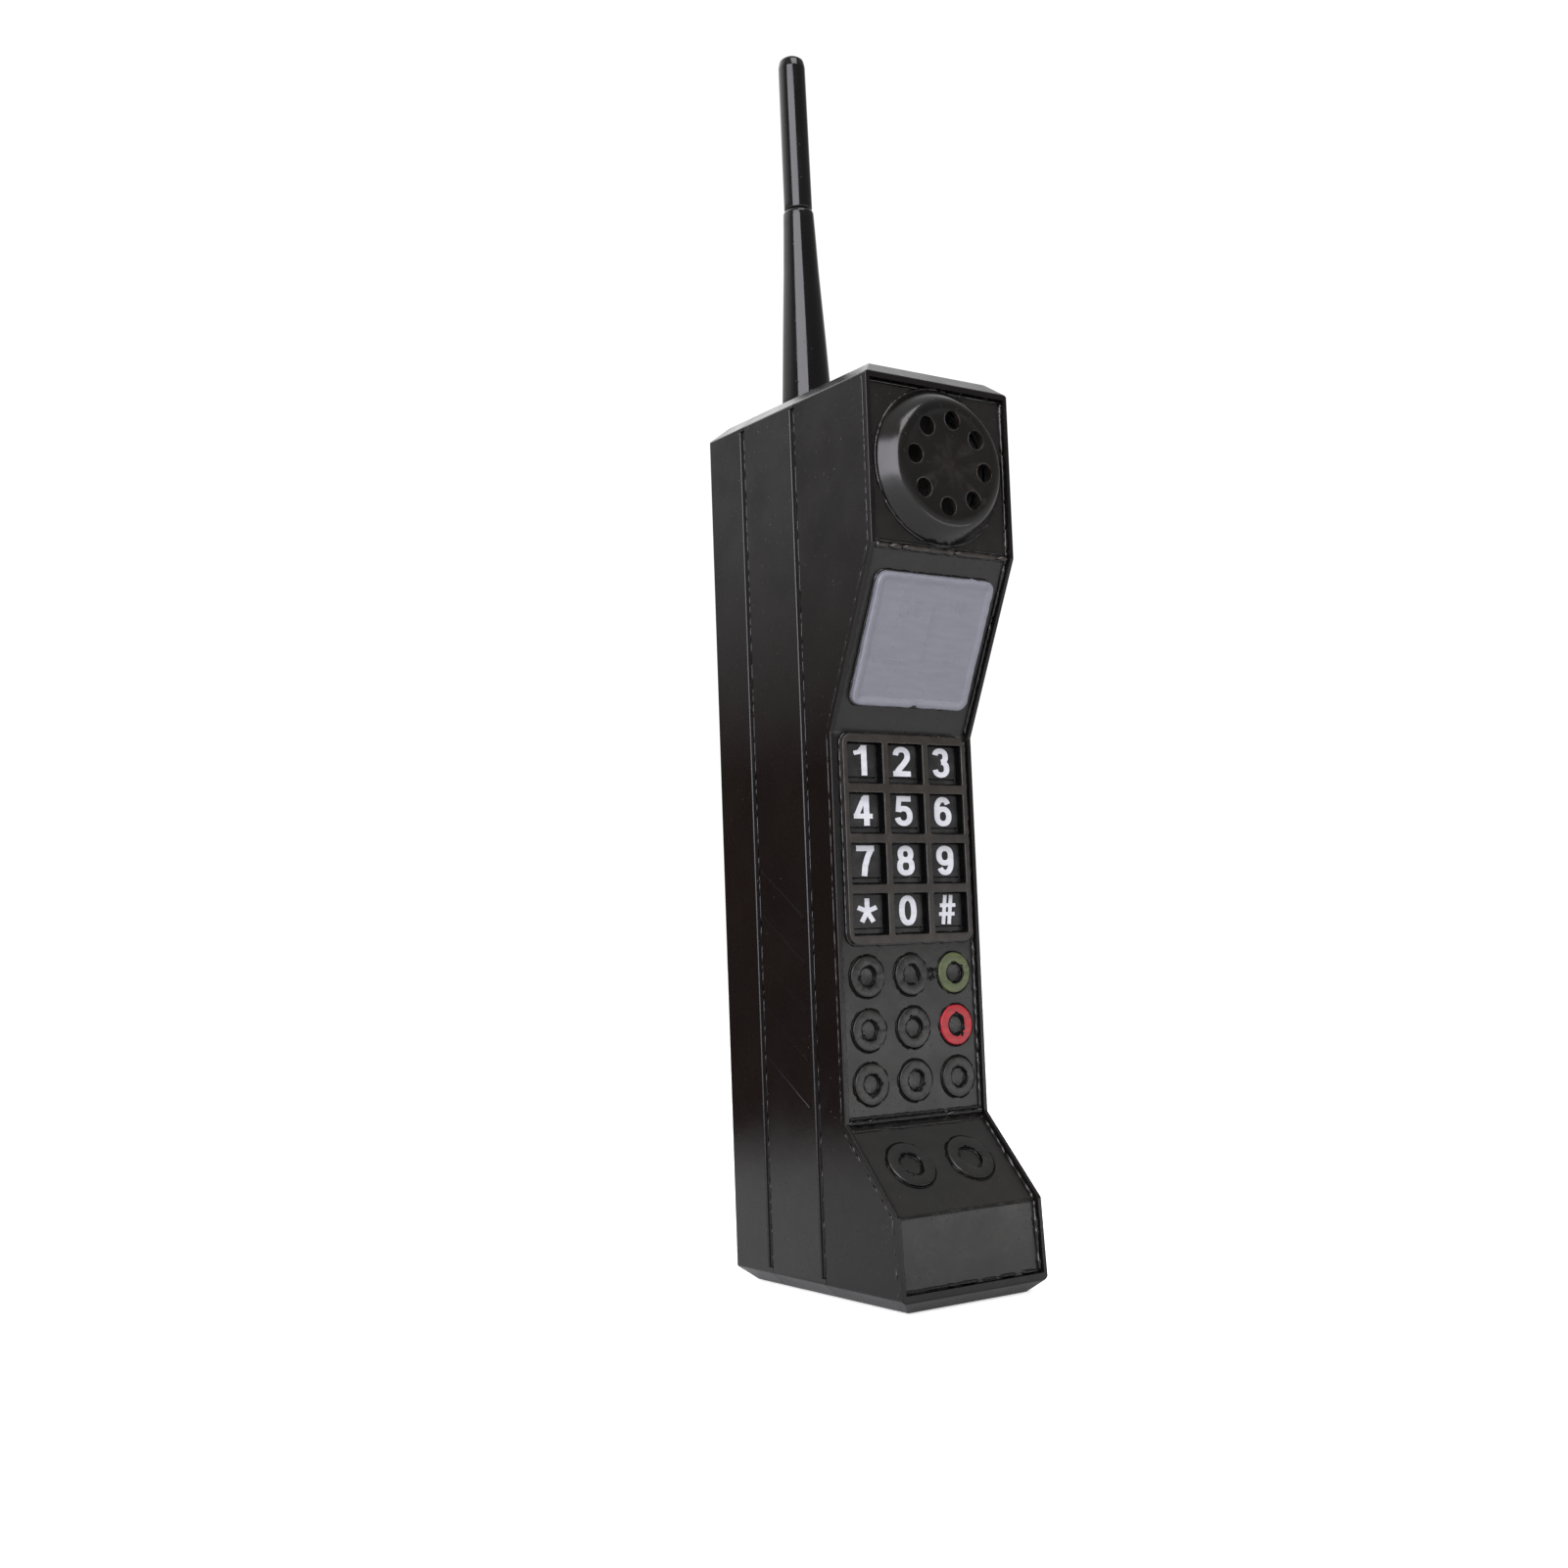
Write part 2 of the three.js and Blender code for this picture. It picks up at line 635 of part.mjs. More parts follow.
function displayWindow() {
  const { halfWidth, lowS, highS, corner, height } = DISPLAY;
  const seat = PANEL_FACE + SEATING_GAP;
  const lip = DISPLAY_LIP.width;
  const slab = plate(roundedRectangle(-halfWidth, lowS, halfWidth, highS, corner), seat, height);
  const sunk = roundedRectangle(-halfWidth + lip, lowS + lip, halfWidth - lip, highS - lip, corner - 1.2);
  const reach = DISPLAY_OPENING.halfWidth - 0.4;
  const inset = DISPLAY_OPENING.margin + 0.4;
  const locator = box([-reach, lowS + inset, PANEL_BACK], [reach, highS - inset, seat + 0.5]);
  return cut(join(slab, locator), plate(sunk, height - DISPLAY_LIP.depth, height + 1));
}

// ---------------------------------------------------------------- keypad

// Every key's name with its place on the key face, as [name, x, s].
function keyPlaces() {
  return KEY_ROWS.flatMap((names, row) =>
    names.map((name, column) => {
      const s = KEYPAD.topRowZ - row * KEYPAD.pitchZ - KEY_FACE_LOW_Z;
      return [name, KEYPAD.x + (column - 1) * KEYPAD.pitchX, s];
    }),
  );
}

function keypadFrame() {
  const lowS = KEYPAD.lowZ - KEY_FACE_LOW_Z;
  const highS = KEYPAD.highZ - KEY_FACE_LOW_Z;
  const left = KEYPAD.x - KEYPAD.halfWidth;
  const right = KEYPAD.x + KEYPAD.halfWidth;
  const shape = roundedRectangle(left, lowS, right, highS, KEYPAD.corner);
  const halfWidth = KEYPAD.windowWidth / 2;
  const halfHeight = KEYPAD.windowHeight / 2;
  const windows = keyPlaces().map(([, x, s]) =>
    box([x - halfWidth, s - halfHeight, -THROUGH], [x + halfWidth, s + halfHeight, THROUGH]),
  );
  const seat = PANEL_FACE + SEATING_GAP;
  const ledge = KEYPAD.ledge + SEATING_GAP;
  const insert = box(
    [left + ledge, lowS + 2 * ledge, PANEL_BACK],
    [right - ledge, highS - 2 * ledge, seat + 0.5],
  );
  return cut(join(plate(shape, seat, KEYPAD.height), insert), ...windows);
}

// A key round its own centre: the bevelled cap, the flange that keeps it behind the
// frame, and the plunger.
function keyGeometry() {
  const halfWidth = KEYPAD.windowWidth / 2 - KEY.clearance;
  const halfHeight = KEYPAD.windowHeight / 2 - KEY.clearance;
  const top = KEYPAD.height - KEY.sink;
  const outline = roundedRectangle(-halfWidth, -halfHeight, halfWidth, halfHeight, 0.5 + KEY.bevel);
  const cap = new THREE.ExtrudeGeometry(outline, {
    depth: top - KEY.bevelDepth - FLANGE_TOP,
    bevelThickness: KEY.bevelDepth,
    bevelSize: KEY.bevel,
    bevelOffset: -KEY.bevel,
    bevelSegments: 1,
    curveSegments: 1,
  }).translate(0, 0, FLANGE_TOP);
  const out = KEY.flange + KEY.clearance;
  const flange = box(
    [-halfWidth - out, -halfHeight - out, FLANGE_TOP - 1],
    [halfWidth + out, halfHeight + out, FLANGE_TOP],
  );
  const plunger = box([-3, -3, FLANGE_TOP - KEY.reach], [3, 3, FLANGE_TOP - 0.5]);
  return join(cap, flange, plunger);
}

function addKeys() {
  const geometry = keyGeometry();
  for (const [name, x, s] of keyPlaces()) {
    addMesh(name, geometry.clone(), MATERIAL.key, keyFace, [x, s, 0]);
  }
}

// ---------------------------------------------------------------- ring buttons

// A round button whose front is a raised ring round a shallow dish.
function ringButton(radius, holeRadius) {
  const flange = radius + BUTTON.flange;
  return turned(
    [
      [0, FLANGE_TOP - BUTTON.reach],
      [3, FLANGE_TOP - BUTTON.reach],
      [flange, FLANGE_TOP - 1],
      [flange, FLANGE_TOP],
      [radius, FLANGE_TOP],
      [radius, BUTTON.top - 0.35],
      [radius - 0.35, BUTTON.top],
      [holeRadius + 0.25, BUTTON.top],
      [holeRadius, BUTTON.top - BUTTON.dish],
      [0, BUTTON.top - BUTTON.dish],
    ],
    ROUND,
  );
}

function buttonMaterial(index) {
  const colours = { 3: MATERIAL.green, 6: MATERIAL.red };
  return colours[index] ?? MATERIAL.button;
}

function addFunctionButtons() {
  const geometry = ringButton(FUNCTION_BUTTON.radius, FUNCTION_BUTTON.holeRadius);
  functionButtonPlaces().forEach(([x, z], place) => {
    const index = place + 1;
    const position = [x, z - KEY_FACE_LOW_Z, 0];
    addMesh(`function_button_${index}`, geometry.clone(), buttonMaterial(index), keyFace, position);
  });
}

function addChinButtons() {
  const geometry = ringButton(CHIN_BUTTON.radius, CHIN_BUTTON.holeRadius);
  for (const [name, x] of Object.entries(CHIN_BUTTON_X)) {
    addMesh(name, geometry.clone(), MATERIAL.button, chinFace, [x, CHIN_BUTTON.s, 0]);
  }
}

// ---------------------------------------------------------------- membranes and boards

// A rubber sheet with one low dome under each button. Heights are measured out of the face.
function membrane(low, high, backHeight, domeHeight, places) {
  const sheet = box([...low, backHeight], [...high, backHeight + MEMBRANE.thickness]);
  const domes = places.map(([x, s]) => {
    const base = backHeight + MEMBRANE.thickness / 2;
    const outline = [
      [0, base],
      [MEMBRANE.domeRadius, base],
      [MEMBRANE.domeRadius * 0.7, domeHeight],
      [0, domeHeight],
    ];
    return turned(outline, 8).translate(x, s, 0);
  });
  return join(sheet, ...domes);
}

function addMembranes() {
  const back = KEY_FACE_Y - BOARD.frontY + SEATING_GAP;
  const keyDome = FLANGE_TOP - KEY.reach - KEY.travel - MEMBRANE.pressedGap;
  const buttonDome = FLANGE_TOP - BUTTON.reach - BUTTON.travel - MEMBRANE.pressedGap;
  const keys = keyPlaces().map(([, x, s]) => [x, s]);
  const buttons = functionButtonPlaces().map(([x, z]) => [x, z - KEY_FACE_LOW_Z]);
  const split = KEYPAD.lowZ - KEY_FACE_LOW_Z;
  const wide = MEMBRANE.halfWidth;
  const highS = BOARD.highZ - KEY_FACE_LOW_Z - 6.6;
  const keySheet = membrane([-wide, split + 1], [wide, highS], back, keyDome, keys);
  const buttonSheet = membrane([-wide, 4], [wide, split - 2], back, buttonDome, buttons);
  const chinPlaces = Object.values(CHIN_BUTTON_X).map((x) => [x, CHIN_BUTTON.s]);
  const chin = CHIN_MEMBRANE;
  const chinLow = [-chin.halfWidth, chin.lowS];
  const chinSheet = membrane(chinLow, [chin.halfWidth, chin.highS], chin.back, buttonDome, chinPlaces);
  addMesh("keypad_membrane", keySheet, MATERIAL.rubber, keyFace);
  addMesh("function_membrane", buttonSheet, MATERIAL.rubber, keyFace);
  addMesh("chin_membrane", chinSheet, MATERIAL.rubber, chinFace);
}

function addBoards() {
  const { halfWidth, lowZ, highZ, frontY, thickness } = BOARD;
  const board = box([-halfWidth, frontY, lowZ], [halfWidth, frontY + thickness, highZ]);
  const screwHoles = Object.values(BOARD_SCREW_Z).map((z) =>
    rodAlongY(0, z, BOARD_SCREW.shankRadius + BORE_CLEARANCE, frontY - 1, frontY + thickness + 1),
  );
  addMesh("main_board", cut(board, ...screwHoles), MATERIAL.board);
  const chin = CHIN_BOARD;
  const plateSolid = box([-chin.halfWidth, chin.lowS, chin.back], [chin.halfWidth, chin.highS, chin.front]);
  const pegHoles = pegs(CHIN_PEG.radius + CHIN_PEG.clearance, chin.back - 1, chin.front + 1);
  addMesh("chin_board", cut(plateSolid, ...pegHoles), MATERIAL.board, chinFace);
  const backY = frontY + thickness + SEATING_GAP;
  const blob = turned([[0, 0], [5, 0], [4, 1.2], [2, 2], [0, 2.2]], SMALL).rotateX(-Math.PI / 2);
  addMesh("sound_chip", blob, MATERIAL.chip, phone, [4, backY, 84]);
}

// ---------------------------------------------------------------- antenna

const antennaGroup = new THREE.Group();
antennaGroup.position.set(ANTENNA.x, ANTENNA.y, BODY.height);
antennaGroup.rotation.y = -THREE.MathUtils.degToRad(ANTENNA.leanLeft);
antennaGroup.rotation.x = -THREE.MathUtils.degToRad(ANTENNA.leanBack);
antennaGroup.updateMatrixWorld(true);
phone.add(antennaGroup);

function addAntenna() {
  const { baseRadius, neckRadius, neckHeight, mastRadius, tipHeight } = ANTENNA;
  const { spigotRadius, spigotDepth } = ANTENNA;
  const base = 0.25;
  const wallThickness = BODY.height - CAVITY.highZ;
  const clip = { top: -wallThickness - 0.5, bottom: -wallThickness - 2.3, radius: 2.4 };
  const socket = { radius: 2.6, bottom: neckHeight - 13 };
  const boot = turned(
    [
      [0, -spigotDepth],
      [spigotRadius, -spigotDepth],
      [spigotRadius, clip.bottom - 0.1],
      [clip.radius, clip.bottom - 0.1],
      [clip.radius, clip.top + 0.1],
      [spigotRadius, clip.top + 0.1],
      [spigotRadius, base],
      [baseRadius, base],
      [baseRadius, base + 2],
      [baseRadius * 0.76 + neckRadius * 0.24, neckHeight * 0.25],
      [neckRadius + 0.05, neckHeight - 0.8],
      [neckRadius - 0.3, neckHeight],
      [socket.radius, neckHeight],
      [socket.radius, socket.bottom],
      [0, socket.bottom],
    ],
    FINE,
  );
  const domeRise = 3.2;
  const mast = turned(
    [
      [0, socket.bottom + 0.5],
      [socket.radius - 0.1, socket.bottom + 0.5],
      [socket.radius - 0.1, neckHeight + 0.2],
      [mastRadius, neckHeight + 0.2],
      [mastRadius - 0.1, tipHeight - domeRise],
      [mastRadius * 0.86, tipHeight - domeRise * 0.45],
      [mastRadius * 0.5, tipHeight - domeRise * 0.12],
      [0, tipHeight],
    ],
    FINE,
  );
  const open = THREE.MathUtils.degToRad(25);
  const ring = new THREE.Shape();
  ring.absarc(0, 0, 5, open, 2 * Math.PI - open);
  ring.absarc(0, 0, clip.radius + 0.2, 2 * Math.PI - open, open, true);
  addMesh("antenna_boot", boot, MATERIAL.antenna, antennaGroup);
  addMesh("antenna_mast", mast, MATERIAL.antenna, antennaGroup);
  addMesh("antenna_clip", plate(ring, clip.bottom, clip.top, 9), MATERIAL.steel, antennaGroup);
}

// ---------------------------------------------------------------- battery compartment

function batteryBox() {
  const { halfWidth, lowZ, highZ, frontY, wall } = BATTERY_BOX;
  const backY = BODY.rearY - WALL - SEATING_GAP;
  const lipThickness = 1.3;
  const tray = box([-halfWidth, frontY, lowZ], [halfWidth, backY, highZ]);
  const lip = box(
    [-DOOR.halfWidth - 2.3, backY - lipThickness, DOOR.lowZ - 2.7],
    [DOOR.halfWidth + 2.3, backY, DOOR.highZ + 2.7],
  );
  const boss = rodAlongY(0, DOOR.screwZ, DOOR_SCREW.bossRadius, DOOR_SCREW.tipY - 2, backY - 0.5);
  const inside = box(
    [-halfWidth + wall, frontY + wall, lowZ + wall],
    [halfWidth - wall, BODY.rearY, highZ - wall],
  );
  const pilotRadius = DOOR_SCREW.shankRadius + 2 * PILOT_CLEARANCE;
  const pilot = rodAlongY(0, DOOR.screwZ, pilotRadius, DOOR_SCREW.tipY - 1, BODY.rearY);
  return cut(join(tray, lip, boss), inside, pilot);
}

function springGeometry(height) {
  const turns = 4;
  const stepsPerTurn = 9;
  const wireRadius = 0.35;
  const points = [];
  for (let step = 0; step <= turns * stepsPerTurn; step += 1) {
    const share = step / (turns * stepsPerTurn);
    const angle = 2 * Math.PI * turns * share;
    const radius = 5 - 1.8 * share;
    const z = wireRadius + share * (height - 2 * wireRadius);
    points.push(new THREE.Vector3(radius * Math.cos(angle), radius * Math.sin(angle), z));
  }
  const section = new THREE.Shape();
  section.absarc(0, 0, wireRadius, 0, 2 * Math.PI);
  return new THREE.ExtrudeGeometry(section, {
    extrudePath: new THREE.CatmullRomCurve3(points),
    steps: turns * stepsPerTurn,
    curveSegments: 3,
    bevelEnabled: false,
  });
}

function addBatteries() {
  const { radius, length, nubRadius, nubHeight, x, y } = CELL;
  const cell = turned(
    [
      [0, 0],
      [radius, 0],
      [radius, length],
      [nubRadius, length],
      [nubRadius, length + nubHeight],
      [0, length + nubHeight],
    ],
    ROUND,
  );
  const gap = 0.3;
  const floorZ = BATTERY_BOX.lowZ + BATTERY_BOX.wall;
  const ceilingZ = BATTERY_BOX.highZ - BATTERY_BOX.wall;
  const sheet = 0.5;
  const springHeight = 4;
  const leftZ = floorZ + gap + sheet + gap + springHeight + gap;
  const rightTopZ = ceilingZ - gap - sheet - gap - springHeight - gap;
  addMesh("battery_box", batteryBox(), MATERIAL.housing);
  addMesh("battery_cell_left", cell, MATERIAL.cell, phone, [-x, y, leftZ]);
  const upsideDown = cell.clone().rotateX(Math.PI);
  addMesh("battery_cell_right", upsideDown, MATERIAL.cell, phone, [x, y, rightTopZ]);
  const spring = springGeometry(springHeight);
  addMesh("battery_spring_lower", spring, MATERIAL.steel, phone, [-x, y, leftZ - gap - springHeight]);
  addMesh("battery_spring_upper", spring.clone(), MATERIAL.steel, phone, [x, y, rightTopZ + gap]);
  const half = 6;
  const lower = box([x - half, y - half, floorZ + gap], [x + half, y + half, floorZ + gap + sheet]);
  const bridge = box([-x - half, y - half, ceilingZ - gap - sheet], [x + half, y + half, ceilingZ - gap]);
  addMesh("battery_contact", lower, MATERIAL.steel);
  addMesh("battery_bridge", bridge, MATERIAL.steel);
}

function addBatteryDoor() {
  const { halfWidth, lowZ, highZ, thickness, screwZ } = DOOR;
  const insideY = BODY.rearY - thickness;
  const slab = box([-halfWidth, insideY, lowZ], [halfWidth, BODY.rearY, highZ]);
  const seatY = insideY + 0.5;
  const { headRadius, shankRadius, tipY } = DOOR_SCREW;
  const headHole = rodAlongY(0, screwZ, headRadius + BORE_CLEARANCE, seatY, BODY.rearY + 1, ROUND);
  const shankHole = rodAlongY(0, screwZ, shankRadius + BORE_CLEARANCE, insideY - 1, seatY + 1);
  addMesh("battery_door", cut(slab, headHole, shankHole), MATERIAL.housing);
  const screw = join(
    rodAlongY(0, screwZ, headRadius, seatY + SEATING_GAP, BODY.rearY - 0.3, ROUND),
    rodAlongY(0, screwZ, shankRadius, tipY, seatY + 0.5),
  );
  addMesh("battery_door_screw", screw, MATERIAL.steel);
}

// ---------------------------------------------------------------- fasteners and wires

function addScrews() {
  const { headRadius, shankRadius, headY, headHeight, tipY } = HOUSING_SCREW;
  const names = ["lower_left", "upper_left", "lower_right", "upper_right"];
  const screws = cornerPosts((x, z) =>
    join(
      rodAlongY(x, z, headRadius, headY, headY + headHeight),
      rodAlongY(x, z, shankRadius, tipY, headY + 0.5),
    ),
  );
  screws.forEach((screw, index) => addMesh(`housing_screw_${names[index]}`, screw, MATERIAL.steel));
  const backY = BOARD.frontY + BOARD.thickness + SEATING_GAP;
  for (const [name, z] of Object.entries(BOARD_SCREW_Z)) {
    const screw = join(
      rodAlongY(0, z, BOARD_SCREW.headRadius, backY, backY + BOARD_SCREW.headHeight),
      rodAlongY(0, z, BOARD_SCREW.shankRadius, BOARD_SCREW.tipY, backY + 0.5),
    );
    addMesh(name, screw, MATERIAL.steel);
  }
}

function wire(points) {
  const section = new THREE.Shape();
  section.absarc(0, 0, 0.6, 0, 2 * Math.PI);
  const path = new THREE.CatmullRomCurve3(points.map((point) => new THREE.Vector3(...point)));
  const options = { extrudePath: path, steps: 14, curveSegments: 3, bevelEnabled: false };
  return new THREE.ExtrudeGeometry(section, options);
}

function addWires() {
  const boardY = BOARD.frontY + BOARD.thickness + 0.5;
  const boxY = BATTERY_BOX.frontY - 0.5;
  const speakerRoute = [
    [0, -16, 208],
    [2, -8, 196],
    [6, 2, 178],
    [8, 3, 160],
    [8, boardY, 146],
  ];
  const batteryRoute = [
    [-8, boxY, 90],
    [-9, 14, 98],
    [-10, 6, 112],
    [-10, boardY, 120],
  ];
  addMesh("speaker_wire", wire(speakerRoute), MATERIAL.wire);
  addMesh("battery_wire", wire(batteryRoute), MATERIAL.wire);
}

// ---------------------------------------------------------------- assembly

addMesh("front_housing", frontHousing(), MATERIAL.housing);
addMesh("middle_housing", middleHousing(), MATERIAL.housing);
addMesh("rear_cover", rearCover(), MATERIAL.housing);
addMesh("front_panel", frontPanel(), MATERIAL.panel);
addMesh("earpiece_cover", earpieceCover(), MATERIAL.panel, earFace, [0, EARPIECE.s, 0]);
addSpeaker();
addMesh("display_window", displayWindow(), MATERIAL.display, displayFace);
addMesh("keypad_frame", keypadFrame(), MATERIAL.panel, keyFace);
addKeys();
addFunctionButtons();
addChinButtons();
addMembranes();
addBoards();
addAntenna();
addBatteries();
addBatteryDoor();
addScrews();
addWires();

export default phone;
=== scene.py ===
"""Toy cell phone: the fine surface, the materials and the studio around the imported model.

Lengths in this script are millimetres until mesh_object() turns them into metres.
"""

import math
import random

import bmesh
import bpy
from mathutils import Matrix, Vector, noise


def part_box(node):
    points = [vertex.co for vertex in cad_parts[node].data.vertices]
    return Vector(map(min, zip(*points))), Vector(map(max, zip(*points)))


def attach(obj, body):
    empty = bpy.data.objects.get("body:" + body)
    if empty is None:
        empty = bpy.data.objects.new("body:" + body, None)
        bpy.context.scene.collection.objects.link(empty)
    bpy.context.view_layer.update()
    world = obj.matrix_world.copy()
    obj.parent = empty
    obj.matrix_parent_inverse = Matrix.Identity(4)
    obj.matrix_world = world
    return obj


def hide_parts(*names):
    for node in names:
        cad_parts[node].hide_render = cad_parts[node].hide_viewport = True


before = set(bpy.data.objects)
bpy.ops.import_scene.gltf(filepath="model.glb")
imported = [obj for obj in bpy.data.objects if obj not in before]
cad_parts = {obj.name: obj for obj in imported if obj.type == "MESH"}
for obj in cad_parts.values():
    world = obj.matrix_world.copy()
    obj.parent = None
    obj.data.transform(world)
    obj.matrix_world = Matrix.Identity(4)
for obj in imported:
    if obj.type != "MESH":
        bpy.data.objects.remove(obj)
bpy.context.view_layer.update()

SCENE = bpy.context.scene
MM = 0.001
# Without a seed, noise_vector() differs from run to run.
noise.seed_set(7)

# ---------------------------------------------------------------- driving dimensions

# The side profile of the front rim, from the lower edge upwards, as (y, z).
RIM_PROFILE = [
    Vector((-36.4, 4)),
    Vector((-35.2, 25)),
    Vector((-14.8, 46.9)),
    Vector((-14.8, 152.1)),
    Vector((-36.6, 199.9)),
    Vector((-36.8, 246)),
]
HALF_WIDTH = 24.9
HEIGHT = 250
REAR_Y = 41
FRONT_Y = -37.2
WALL = 2.4
TOP_EDGE_HEIGHT = 4
TOP_EDGE_INSET = 4.6
REAR_CHAMFER = 0.6
FRONT_SEAM_Y = -1.6
REAR_SEAM_Y = 23.7
SEAM_GAP = 0.2
GROOVE = {"half_width": 2.0, "depth": 0.8, "low_z": 5.5, "high_z": 245}
RIM_WIDTH = 1.3
PANEL_FACE = -1.5
PANEL_THICKNESS = 2.0
PANEL_LOW_Z = 5.3
PANEL_HIGH_Z = 244.7
EARPIECE_S = 23.2
DISPLAY_S = (8, 45.3)
KEY_HALF = (5.85, 5.45)
KEY_TOP = -1.8
KEY_STRIP = KEY_TOP - 0.4
KEYPAD_X = 0.6
BUTTON_TOP = -0.75
BUTTON_DISH = 0.9


def face_matrix(lower_index):
    """Local X is across, Y runs up one face of the front and Z points out of it."""
    lower = RIM_PROFILE[lower_index]
    along = RIM_PROFILE[lower_index + 1] - lower
    turn = Matrix.Rotation(math.atan2(along.y, along.x), 4, "X")
    return Matrix.Translation((0, lower.x, lower.y)) @ turn


FRONT_FOOT = face_matrix(0)
CHIN_FACE = face_matrix(1)
KEY_FACE = face_matrix(2)
DISPLAY_FACE = face_matrix(3)
EAR_FACE = face_matrix(4)
FACE_LENGTHS = [(RIM_PROFILE[i + 1] - RIM_PROFILE[i]).length for i in range(5)]


def node_box(node):
    """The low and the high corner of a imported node, in millimetres."""
    return [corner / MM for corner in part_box(node)]


def node_centre(node):
    """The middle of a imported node, in millimetres."""
    low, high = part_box(node)
    return (low + high) / 2 / MM


def outward(matrix):
    """The direction that a face looks in."""
    return matrix.to_3x3() @ Vector((0, 0, 1))


# ---------------------------------------------------------------- camera

CAMERA_PLACE = (-0.313144, -0.407643, 0.09491)
CAMERA_AZIMUTH = math.radians(-34.747)
CAMERA_ELEVATION = math.radians(-5.112)
CAMERA_ROLL = math.radians(-2.1)
FOCAL_LENGTH = 41.64
SENSOR_WIDTH = 36


def add_camera():
    data = bpy.data.cameras.new("camera")
    data.lens = FOCAL_LENGTH
    data.sensor_width = SENSOR_WIDTH
    data.clip_start = 0.01
    camera = bpy.data.objects.new("camera", data)
    SCENE.collection.objects.link(camera)
    turn = Matrix.Rotation(CAMERA_AZIMUTH, 4, "Z") @ Matrix.Rotation(math.pi / 2 - CAMERA_ELEVATION, 4, "X")
    turn = turn @ Matrix.Rotation(CAMERA_ROLL, 4, "Z")
    camera.matrix_world = Matrix.Translation(CAMERA_PLACE) @ turn
    SCENE.camera = camera


# ---------------------------------------------------------------- material nodes


def linear(red, green, blue):
    """An sRGB colour of 0 to 255 as the linear colour that shaders take."""
    def channel(value):
        share = value / 255
        return share / 12.92 if share <= 0.04045 else ((share + 0.055) / 1.055) ** 2.4
    return (channel(red), channel(green), channel(blue), 1)


def new_material(name):
    material = bpy.data.materials.new(name)
    material.use_nodes = True
    tree = material.node_tree
    return material, tree, tree.nodes["Principled BSDF"]


def add_node(tree, kind, **settings):
    node = tree.nodes.new(kind)
    for key, value in settings.items():
        if key in node.inputs:
            node.inputs[key].default_value = value
        else:
            setattr(node, key, value)
    return node


def noise_field(tree, scale, detail=3.0, stretch=(1, 1, 1)):
    """A noise value in object space; scale counts cells per metre."""
    place = add_node(tree, "ShaderNodeTexCoord")
    mapping = add_node(tree, "ShaderNodeMapping", Scale=stretch)
    texture = add_node(tree, "ShaderNodeTexNoise", Scale=scale, Detail=detail)
    tree.links.new(place.outputs["Object"], mapping.inputs["Vector"])
    tree.links.new(mapping.outputs["Vector"], texture.inputs["Vector"])
    return texture.outputs["Fac"]


def specks(tree, scale, size):
    """Small round dots in object space: 1 inside a dot, 0 outside it."""
    place = add_node(tree, "ShaderNodeTexCoord")
    cells = add_node(tree, "ShaderNodeTexVoronoi", Scale=scale)
    tree.links.new(place.outputs["Object"], cells.inputs["Vector"])
    return ramp(tree, cells.outputs["Distance"], (size * 0.5, 1), (size, 0))


def ramp(tree, source, start, end):
    """Maps a value linearly from start to end, each (position, result)."""
    node = add_node(tree, "ShaderNodeMapRange")
    node.inputs["From Min"].default_value = start[0]
    node.inputs["From Max"].default_value = end[0]
    node.inputs["To Min"].default_value = start[1]
    node.inputs["To Max"].default_value = end[1]
    tree.links.new(source, node.inputs["Value"])
    return node.outputs["Result"]


def blend_colour(tree, share, first, second):
    """Mixes two colours, each a linear colour or a socket, by a share socket."""
    node = add_node(tree, "ShaderNodeMix", data_type="RGBA")
    tree.links.new(share, node.inputs["Factor"])
    for socket, value in (("A", first), ("B", second)):
        target = [s for s in node.inputs if s.name == socket and s.type == "RGBA"][0]
        if isinstance(value, tuple):
            target.default_value = value
        else:
            tree.links.new(value, target)
    return [s for s in node.outputs if s.type == "RGBA"][0]


def calculate(tree, operation, first, second):
    """A math node on two values, each a number or a socket."""
    node = add_node(tree, "ShaderNodeMath", operation=operation)
    for socket, value in zip(node.inputs, (first, second)):
        if isinstance(value, (int, float)):
            socket.default_value = value
        else:
            tree.links.new(value, socket)
    return node.outputs["Value"]


def coordinate(tree, space, axis):
    """One coordinate of the shaded point."""
    place = add_node(tree, "ShaderNodeTexCoord")
    split = add_node(tree, "ShaderNodeSeparateXYZ")
    tree.links.new(place.outputs[space], split.inputs["Vector"])
    return split.outputs[axis]


def scaled(colour, factor, lift=0.0):
    return tuple(min(1, channel * factor + lift) for channel in colour[:3]) + (1,)


def uneven_gloss(tree, shader, source, low, high):
    """Roughness that a noise field varies between two values."""
    tree.links.new(ramp(tree, source, (0.3, low), (0.7, high)), shader.inputs["Roughness"])


def edge_share(tree):
    """1 on sharp outer edges, 0 on flat faces."""
    geometry = add_node(tree, "ShaderNodeNewGeometry")
    return ramp(tree, geometry.outputs["Pointiness"], (0.505, 0), (0.56, 1))


def add_bumps(tree, shader, layers):
    """Bump layers as (height socket, distance in metres)."""
    previous = None
    for height, distance in layers:
        bump = add_node(tree, "ShaderNodeBump", Strength=1.0, Distance=distance)
        tree.links.new(height, bump.inputs["Height"])
        if previous is not None:
            tree.links.new(previous, bump.inputs["Normal"])
        previous = bump.outputs["Normal"]
    tree.links.new(previous, shader.inputs["Normal"])


